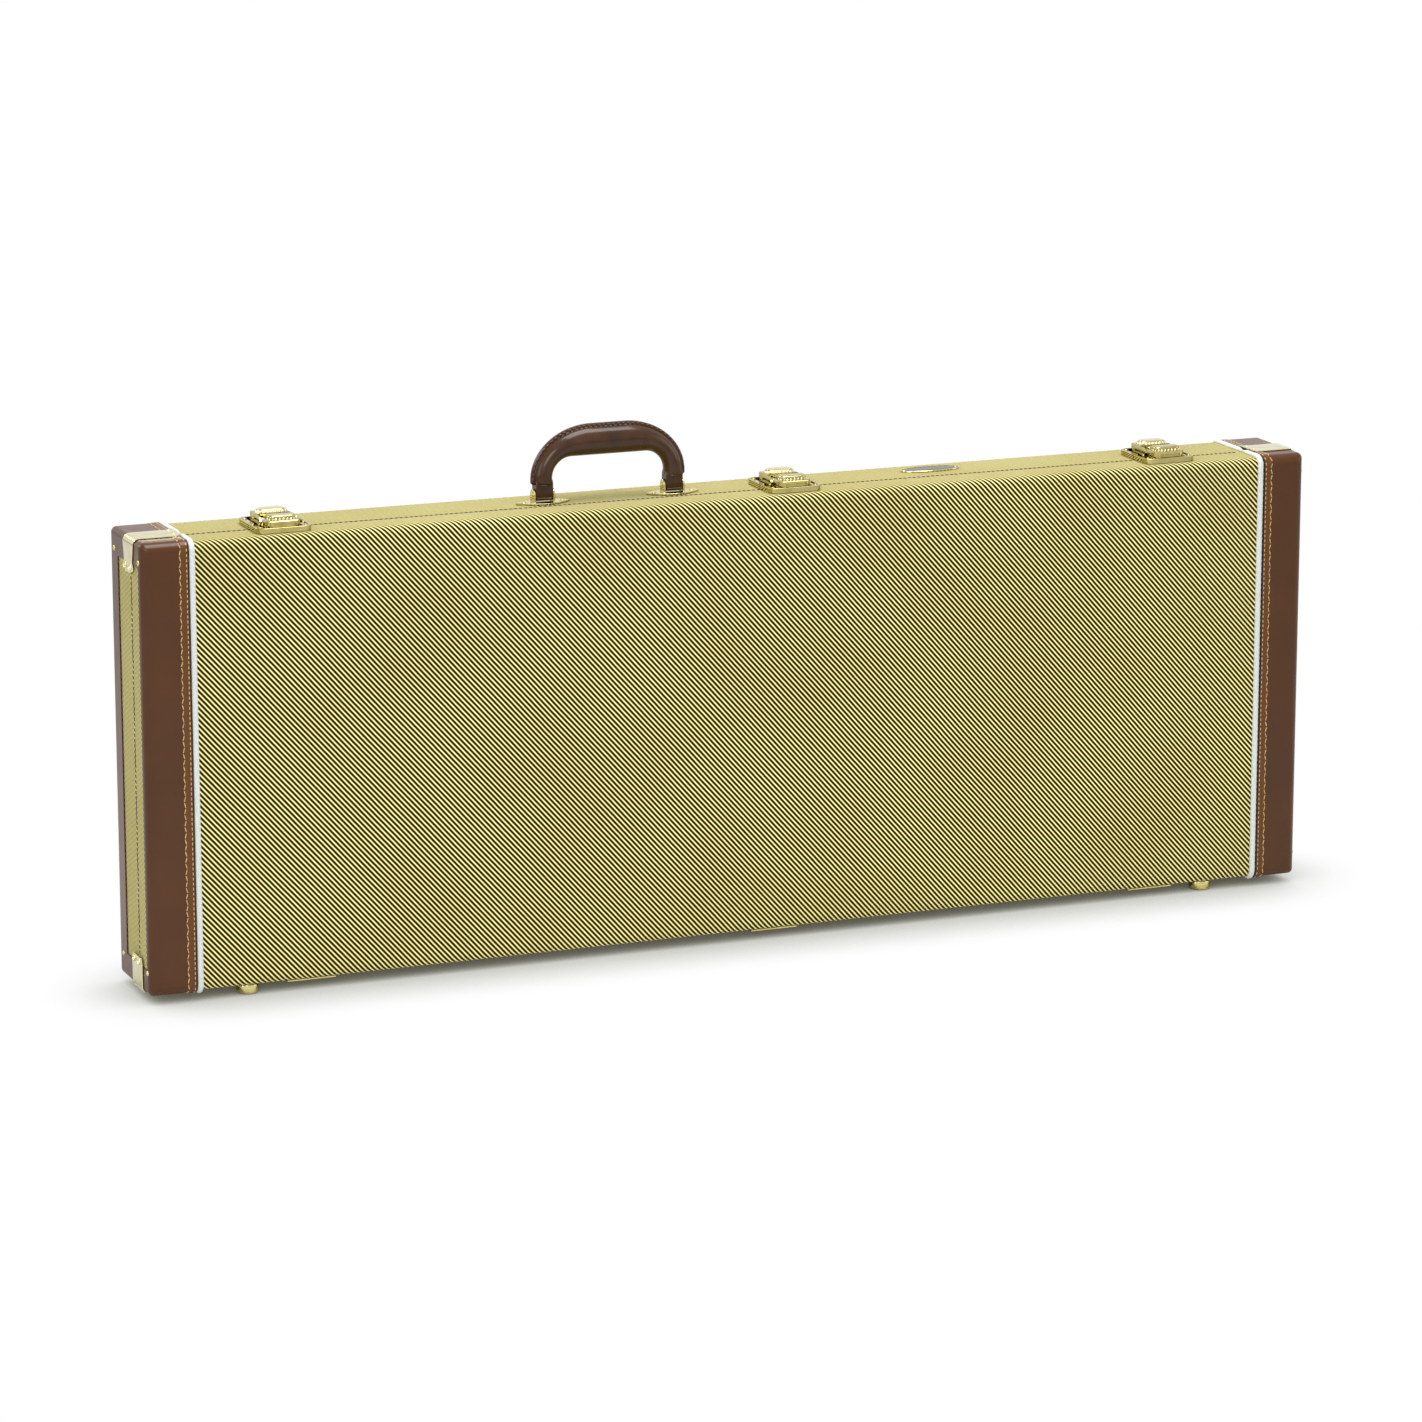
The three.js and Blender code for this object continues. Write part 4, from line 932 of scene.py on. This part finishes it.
def flutedCrown(node, body, name, crown, end):
    # a raised cushion with fluted sides: levels of inset, height's share and fluting's share
    low, high = corners(node)
    halfX, halfY = crown["half"]
    corner = min(latchTrim["crownCorner"], halfY - 0.2)
    outline, _ = roundedLoop(halfX, halfY, corner, 10)
    inward = crown["margin"] + halfY
    centre = [(low[0] + high[0]) / 2, high[1] - inward if end > 0 else low[1] + inward]
    even, out = evenOutline(outline + centre, latchTrim["flutePitch"], latchTrim["fluteSteps"])
    turn = np.arange(len(even)) * fullTurn / latchTrim["fluteSteps"]
    flute = latchTrim["fluteDepth"] * (0.5 - 0.5 * np.cos(turn))
    bottom, top = high[2] + np.array(crown["levels"])
    levels = [
        (0.0, 0, 1), (0.0, 0.35, 1), (0.3, 0.55, 1), (0.9, 0.66, 0.5),
        (1.6, 0.6, 0), (2.1, 0.66, 0), (2.5, 0.92, 0), (3.4, 1, 0),
    ]
    rings = [
        (even - out * (inset + flute * share)[:, None], bottom + (top - bottom) * rise)
        for inset, rise, share in levels
    ]
    # the crowns take the paler strap brass: a painted highlight on the latches' tops
    makePiece(name, *stacked(rings), body, strapBrass, "brass")


def makeTrayRibs(node, body, name, centreY, halfY):
    # a pressed rib on each side of the moving pieces: levels of outline's share and height's share
    low, high = corners(node)
    rib = latchTrim["rib"]
    outline, _ = roundedLoop(rib["halfX"], halfY, rib["corner"], 5)
    plateZ = case["topZ"] + latchTrim["plateTop"]
    parts = []
    for sign in ends.values():
        centre = [(low[0] + high[0]) / 2 + sign * rib["fromMiddle"], centreY]
        parts.append(stacked([
            (outline * share + centre, plateZ + rise * rib["height"])
            for share, rise in ((1.0, -0.15), (0.94, 0.7), (0.82, 0.93), (0.62, 1.0))
        ]))
    makePiece(name, *joined(parts), body, latchBrass, "brass")


def makePlateRivets(node, body, name, awayY):
    low, high = corners(node)
    insetX, insetY = latchTrim["rivetInset"]
    y = (high[1] if awayY > 0 else low[1]) - awayY * insetY
    z = case["topZ"] + latchTrim["plateTop"] + latchTrim["rib"]["height"]
    heads = np.array([[x, y, z] for x in (low[0] + insetX, high[0] - insetX)])
    rivets = scatter(rivetShape(latchTrim["rivetRadius"]), heads, unit)
    makePiece(name, *rivets, body, latchBrass, "brass")


for place in places:
    title = place.title()
    keeper, base = f"latch_keeper_{place}", f"latch_base_{place}"
    lever, hood = latchTrim["leverCrown"], latchTrim["hoodCrown"]
    makePlateRivets(keeper, "lid", f"latchKeeperRivets{title}", -1)
    makePlateRivets(base, "body", f"latchBaseRivets{title}", 1)
    flutedCrown(f"latch_lever_{place}", f"lever_{place}", f"latchLeverCrown{title}", lever, 1)
    flutedCrown(f"latch_loop_{place}", f"loop_{place}", f"latchHoodCrown{title}", hood, -1)
    makeTrayRibs(base, "body", f"latchBaseRibs{title}", *latchTrim["baseRib"])
    makeTrayRibs(keeper, "lid", f"latchKeeperRibs{title}", *latchTrim["keeperRib"])
print("hinges and latches made")


# Handle: leather round a core, with a sewn ridge along its outer edge

handle = {
    "legWidth": 16,
    "legDepth": 16,
    "gripHeight": 21,
    "gripDepth": 20,
    "belly": 3,
    "bend": 32,
    "outerReach": 50,
    "outerMarks": (38, 62),     # along the outer line, facing the inner bend's middle and end
    "innerRadius": 17,
    "steps": 120,
    "fineSteps": 400,
    "smoothReach": 7,           # steps on each side that the inner line is averaged over
    "welt": 3,
    "weltThickness": 4.5,
    "pinHeight": 8,
    "tongueWidth": 15,
    "tongueRadius": 5.6,
    "tongueReach": 6,
    "tongueBevel": 0.7,
    "legRise": 8,
    "endRound": 1.5,
    "endShare": 0.86,
    "stitchPitch": 4.4,
    "stitch": (2.8, 0.7, 0.8),
    "stitchSide": 0.88,
    "screw": (2.4, 0.9),
    "screwFromMiddle": 17,
    "screwZ": 1.8,
}
gripLow, gripHigh = corners("handle_grip")
handle["centreX"] = (gripLow[0] + gripHigh[0]) / 2
handle["centreY"] = (gripLow[1] + gripHigh[1]) / 2
handle["legX"] = (gripHigh[0] - gripLow[0] - handle["legWidth"]) / 2 - handle["welt"]
handle["bendZ"] = gripHigh[2] - handle["welt"] - handle["gripHeight"] / 2 - handle["bend"]
handle["pinZ"] = case["topZ"] + handle["pinHeight"]
handle["legZ"] = handle["pinZ"] + handle["legRise"]


def evenLine(points, where):
    # a line's points at given distances along it
    run = lineRun(points)
    return np.stack([np.interp(where, run, points[:, k]) for k in range(2)], axis=-1)


def handleHalf(count):
    # half of the side view, from the left leg's foot to the middle: its outer and its inner line
    turn = np.linspace(0, quarterTurn, handle["steps"])
    legZ, half, bendZ = handle["legZ"], handle["legWidth"] / 2, handle["bendZ"]
    topZ = bendZ + handle["bend"] + handle["gripHeight"] / 2
    innerZ = topZ - handle["gripHeight"] - handle["belly"]
    outX, inX = handle["legX"] + half, handle["legX"] - half
    reach, radius = handle["outerReach"], handle["innerRadius"]

    def bow(x, z, width, height):
        # from the leg's side up and over: a quarter of an ellipse between the foot and the middle
        arc = np.stack([-x + width * (1 - np.cos(turn)), z + height * np.sin(turn)], axis=-1)
        return np.concatenate([[[-x, legZ]], arc, [[0, z + height]]])

    outer = bow(outX, bendZ, reach, topZ - bendZ)
    inner = bow(inX, innerZ - radius, radius, radius)
    # matching places on both: foot, start, middle and end of the inner bend, and the middle
    innerLeg = innerZ - radius - legZ
    innerMarks = np.cumsum([0, innerLeg, radius * np.pi / 4, radius * np.pi / 4, inX - radius])
    outerMarks = np.array([0, innerLeg, *handle["outerMarks"], lineRun(outer)[-1]])
    share = np.linspace(0, outerMarks[-1], count)
    matched = np.interp(share, outerMarks, innerMarks)
    # smoothed by a bell-shaped average, mirrored about both ends
    n = handle["smoothReach"]
    before, after = 2 * matched[0] - matched[n:0:-1], 2 * matched[-1] - matched[-2:-2 - n:-1]
    kernel = np.hanning(2 * n + 1) / np.hanning(2 * n + 1).sum()
    matched = np.convolve(np.concatenate([before, matched, after]), kernel, "valid")
    return evenLine(outer, share), evenLine(inner, matched)


def handleLine(count):
    # the whole centre line, with its outward and forward directions and the width at each place
    lines = handleHalf(count // 2)
    outer, inner = (np.concatenate([line, line[-2::-1] * [-1, 1]]) for line in lines)
    middle, across = (outer + inner) / 2, outer - inner
    width = np.linalg.norm(across, axis=1)
    flat = across / width[:, None]
    zero = np.zeros(len(width))
    outwards = np.stack([flat[:, 0], zero, flat[:, 1]], axis=-1)
    along = np.stack([flat[:, 1], zero, -flat[:, 0]], axis=-1)
    centre = np.stack([middle[:, 0], zero, middle[:, 1]], axis=-1)
    centre = centre + [handle["centreX"], handle["centreY"], 0]
    return lineRun(outer), centre, outwards, along, width


def gripSection(width, depth):
    # an oval with the sewn welt on its outer side: distances outwards and across
    start = np.arcsin(handle["weltThickness"] / depth)[:, None]
    angle = start + (fullTurn - 2 * start) * np.linspace(0, 1, 49)[None, :]
    reach = np.cos(angle) * width[:, None] / 2
    across = np.sin(angle) * depth[:, None] / 2
    rim = width[:, None] / 2 * np.cos(start)
    welt, half = handle["welt"], handle["weltThickness"] / 2
    # one side of the welt: reach from its root, and share of its half thickness
    oneSide = np.array([[0.45, 0.82], [welt - 0.9, 0.9], [welt - 0.25, 0.72], [welt, 0.3]])
    weltReach = np.concatenate([oneSide[:, 0], oneSide[::-1, 0]])
    weltAcross = half * np.concatenate([-oneSide[:, 1], oneSide[::-1, 1]])
    weltAcross = np.broadcast_to(weltAcross, (len(width), len(weltAcross)))
    reach = np.concatenate([reach, rim + weltReach[None, :]], axis=1)
    return reach, np.concatenate([across, weltAcross], axis=1)


def gripDepth(width):
    # as deep as the leg is where it is as wide as the leg, up to the full depth in the middle
    full = handle["gripHeight"] + handle["belly"] - handle["legWidth"]
    share = np.clip((width - handle["legWidth"]) / full, 0, 1)
    return handle["legDepth"] + (handle["gripDepth"] - handle["legDepth"]) * share


def makeGrip():
    # the section carried along the centre line, drawn in towards both feet by a quarter round
    s, centre, outwards, _, width = handleLine(handle["steps"])
    reach, across = gripSection(width, gripDepth(width))
    fromFoot = np.clip(np.minimum(s, s[-1] - s) / handle["endRound"], 0, 1)
    least = handle["endShare"]
    swell = least + (1 - least) * np.sqrt(1 - (1 - fromFoot) ** 2)
    rings = centre[:, None] + swell[:, None, None] * (
        reach[:, :, None] * outwards[:, None] + across[:, :, None] * unit[1]
    )
    parts = [(rings.reshape(-1, 3), cappedFaces(len(s), reach.shape[1]))]
    # tongues: flat leather ends that turn on the pins, stacked along X
    radius, bevel, halfX = handle["tongueRadius"], handle["tongueBevel"], handle["tongueWidth"] / 2
    halfZ = (radius + handle["legZ"] - handle["pinZ"] + handle["tongueReach"]) / 2
    outline, out = roundedLoop(radius, halfZ, radius - 0.1, 8)
    outline = outline + [handle["centreY"], handle["pinZ"] - radius + halfZ]
    for sign in ends.values():
        middle = handle["centreX"] + sign * handle["legX"]
        shifts = ((bevel, -halfX), (0, bevel - halfX), (0, halfX - bevel), (bevel, halfX))
        points, faces = stacked([(outline - out * inset, middle + x) for inset, x in shifts])
        parts.append((points[:, [2, 0, 1]], faces))
    piece = makePiece("handleGrip", *joined(parts), "handle", handleLeather, "handle_leather")
    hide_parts("handle_grip")


def makeGripStitches():
    # a saddle stitch on both faces of the welt
    s, centre, outwards, along, width = handleLine(handle["fineSteps"])
    count = int(s[-1] / handle["stitchPitch"]) - 1
    picks = np.searchsorted(s, (np.arange(count) + 1) * handle["stitchPitch"])
    first = along[picks]
    reach = width[picks] / 2 + handle["welt"] * 0.5
    parts = []
    for face in (-1, 1):
        away = np.broadcast_to(face * unit[1], first.shape)
        origin = centre[picks] + outwards[picks] * reach[:, None]
        origin = origin + away * handle["weltThickness"] / 2 * handle["stitchSide"]
        axes = np.stack([first, np.cross(away, first), away], axis=1)
        parts.append(scatter(threadShape(*handle["stitch"]), origin, axes))
    makePiece("handleStitches", *joined(parts), "handle", handleThread)


makeGrip()
makeGripStitches()
for side in ends:
    nodeCopy(f"handle_bracket_{side}", "body", brass, 0.3)
    nodeCopy(f"handle_pin_{side}", "body", brass, 0.3)
    low, high = corners(f"handle_bracket_{side}")
    x, y, _ = (low + high) / 2
    spread, z = handle["screwFromMiddle"], case["topZ"] + handle["screwZ"]
    heads = np.array([[x - spread, y, z], [x + spread, y, z]])
    screws = scatter(domeShape(*handle["screw"]), heads, unit)
    makePiece(f"bracketScrews{side.title()}", *screws, "body", brass, "brass")
print("handle made")


# Feet and the oval plate

foot = {
    "wider": 1.2,
    "outward": 2.6,
    "intoCase": 0.8,
    # radius and height of the sole, then how far inside the full radius and how high the side is
    "sole": ((5.2, 0.5), (5.8, 0.0)),
    "side": ((1.2, 0.0), (0.4, 0.35), (0, 1.1), (0, 7.6), (0.3, 8.1), (1.0, 8.4)),
}


def makeFoot(half, side):
    # a turned button with rounded shoulders, its neck let into the case
    low, high = corners(f"{half}_foot_{side}")
    middle = (low + high) / 2 - [0, halves[half]["inward"] * foot["outward"], 0]
    radius = (high[0] - low[0]) / 2 + foot["wider"]
    profile = [*foot["sole"], *((radius - inside, z) for inside, z in foot["side"])]
    points, faces = turned([*profile, (profile[-1][0], high[2] + foot["intoCase"])], 40)
    points[:, :2] += middle[:2]
    piece = makePiece(f"{half}Foot{side.title()}", points, faces, half, brass, "brass")
    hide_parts(f"{half}_foot_{side}")


oval = {
    "back": 3.0, "longer": 1.5, "deeper": 3.0,
    "pin": (1.5, 0.6), "pinInset": 3.4, "pinZ": 0.9,
    # inset from the outline, and height
    "rim": ((0, 0), (0, 0.8), (0.3, 1.15), (0.9, 1.2), (1.3, 1.0), (1.3, 0)),
    "field": ((1.3, 0.1), (1.3, 0.75), (2.6, 0.95), (5, 1.05)),
}


def makeOvalPlate():
    # a stack of ellipses, drawn in by an inset on both axes
    low, high = corners("oval_plate")
    middle = (low + high) / 2 + [0, oval["back"], 0]
    half = (high - low) / 2 + [oval["longer"], oval["deeper"], 0]
    turn = np.linspace(0, fullTurn, 72, endpoint=False)
    circle = np.stack([np.cos(turn), np.sin(turn)], axis=-1)
    rim, field = (
        stacked([(middle[:2] + (half[:2] - inset) * circle, low[2] + z) for inset, z in rings])
        for rings in (oval["rim"], oval["field"])
    )
    ringFaces = gridFaces(len(oval["rim"]), len(turn), wrapRows=True, wrapColumns=True)
    piece = makePiece("ovalPlateRim", rim[0], ringFaces, "body", brass, "brass")
    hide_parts("oval_plate")
    makePiece("ovalPlateField", *field, "body", enamel, "oval_plate")
    reach, z = half[0] - oval["pinInset"], low[2] + oval["pinZ"]
    pins = np.array([[middle[0] + sign * reach, middle[1], z] for sign in ends.values()])
    heads = scatter(domeShape(*oval["pin"]), pins, unit)
    makePiece("ovalPlatePins", *heads, "body", brass, "brass")


for half in halves:
    for side in ends:
        makeFoot(half, side)
makeOvalPlate()
print("feet and plate made")


# Lining and pads: foam under plush, rounded by remeshing and smoothing the CAD forms

pads = {
    # the body that each rides on, and the step in millimetres that it is remeshed at
    "body_back_pad": ("body", 5.0),
    "tail_pad": ("body", 3.5),
    "head_pad": ("body", 3.5),
    "bout_pad_upper": ("body", 3.5),
    "bout_pad_lower": ("body", 3.5),
    "neck_rest": ("body", 2.5),
    "lid_pad": ("lid", 5.0),
}
padSmoothing = {"factor": 0.6, "iterations": 8}


def makePad(node, body, voxel):
    raw = bpy.data.objects.new(f"{node}_raw", mergedCopy(node))
    bpy.context.scene.collection.objects.link(raw)
    remesh = raw.modifiers.new("voxels", "REMESH")
    remesh.mode = "VOXEL"
    remesh.voxel_size = voxel * mm
    smooth = raw.modifiers.new("soft", "SMOOTH")
    smooth.factor = padSmoothing["factor"]
    smooth.iterations = padSmoothing["iterations"]
    evaluated = raw.evaluated_get(bpy.context.evaluated_depsgraph_get())
    final = bpy.data.meshes.new_from_object(evaluated)
    final.name = camel(node)
    bpy.data.objects.remove(raw)
    piece = placePiece(camel(node), final, body, plush)
    piece.data.shade_smooth()
    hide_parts(node)


for node, (body, voxel) in pads.items():
    makePad(node, body, voxel)
for node, body in (
    ("body_liner", "body"), ("accessory_box", "body"), ("accessory_lid", "accessory_cover"),
):
    nodeCopy(node, body, plush, 1.2, 3)
print("lining and pads made")


# Studio: white all round, soft lamps, and a floor that shows only where the case shades it

floorLook = {
    "reach": 12.0,
    "shadeReach": 0.1,
    "shades": ((0.0, "#4A4838"), (0.45, "#C4C4BC"), (0.9, "#FFFFFF")),
}


def makeFloor():
    size = floorLook["reach"]
    square = [(-size, -size, 0), (size, -size, 0), (size, size, 0), (-size, size, 0)]
    mesh = bpy.data.meshes.new("floor")
    mesh.from_pydata(square, [], [(0, 1, 2, 3)])
    floor = bpy.data.objects.new("floor", mesh)
    bpy.context.scene.collection.objects.link(floor)
    material, add = newMaterial("paleFloor")
    path = add("ShaderNodeLightPath")
    reach = {"Distance": floorLook["shadeReach"]}
    clear = add("ShaderNodeAmbientOcclusion", reach, samples=12)["AO"]
    shade = add("ShaderNodeValToRGB", [clear], floorLook["shades"])[0]
    seen = add("ShaderNodeBsdfTransparent", {"Color": shade})[0]
    bounce = add("ShaderNodeBsdfDiffuse", {"Color": linear("#EDEDEA")})[0]
    passing = add("ShaderNodeBsdfTransparent")[0]
    surface = add("ShaderNodeMixShader", [path["Is Camera Ray"], bounce, seen])[0]
    surface = add("ShaderNodeMixShader", [path["Is Shadow Ray"], surface, passing])[0]
    add("ShaderNodeOutputMaterial", {"Surface": surface})
    mesh.materials.append(material)


def makeWorld():
    world = bpy.data.worlds.new("whiteStudio")
    world.use_nodes = True
    world.node_tree.nodes.clear()
    add = functools.partial(addNode, world.node_tree)
    path = add("ShaderNodeLightPath")
    shown = path["Is Camera Ray"]
    for ray in ("Is Glossy Ray", "Is Transmission Ray"):
        shown = add("ShaderNodeMath", [shown, path[ray]], operation="MAXIMUM")[0]
    ambient = add("ShaderNodeBackground", {"Color": linear("#F4F6FF"), "Strength": 0.5})[0]
    white = add("ShaderNodeBackground", {"Color": (1, 1, 1, 1), "Strength": 1.0})[0]
    mixed = add("ShaderNodeMixShader", [shown, ambient, white])[0]
    add("ShaderNodeOutputWorld", {"Surface": mixed})
    bpy.context.scene.world = world


lamps = {
    "overheadSoftbox": {"at": (0.1, -0.3, 2.6), "size": 1.6, "power": 62},
    "frontSoftbox": {"at": (-1.9, -3.3, 1.9), "size": 1.4, "power": 36},
    "leftFill": {"at": (-3.4, -0.9, 1.1), "size": 1.4, "power": 16},
    "rightFill": {"at": (3.2, -1.6, 1.2), "size": 1.8, "power": 14},
    "backFill": {"at": (-2.6, 2.9, 2.0), "size": 1.8, "power": 26},
}
lampTarget = (0, 0, 0.2)


def makeLamp(name, spec):
    # a square lamp that looks at the target: yaw about Z, then pitch from straight down
    light = bpy.data.lights.new(name, "AREA")
    light.shape = "SQUARE"
    light.size = spec["size"]
    light.energy = spec["power"]
    lamp = bpy.data.objects.new(name, light)
    bpy.context.scene.collection.objects.link(lamp)
    x, y, z = np.array(spec["at"]) - lampTarget
    lamp.location = spec["at"]
    lamp.rotation_euler = (math.atan2(math.hypot(x, y), z), 0, math.atan2(x, -y))


view = {
    "at": (-1.8146, -4.4162, 1.3151), "tilt": 76.763, "turn": -22.190, "lens": 146.29, "sensor": 36,
}


def makeCamera():
    data = bpy.data.cameras.new("photographersView")
    data.sensor_width = view["sensor"]
    data.lens = view["lens"]
    data.clip_start, data.clip_end = 0.1, 100
    camera = bpy.data.objects.new("photographersView", data)
    bpy.context.scene.collection.objects.link(camera)
    camera.location = view["at"]
    camera.rotation_euler = (math.radians(view["tilt"]), 0, math.radians(view["turn"]))
    bpy.context.scene.camera = camera


makeFloor()
makeWorld()
for name, spec in lamps.items():
    makeLamp(name, spec)
makeCamera()
bpy.context.scene.view_settings.view_transform = "Standard"
print("studio made")

bpy.context.view_layer.update()
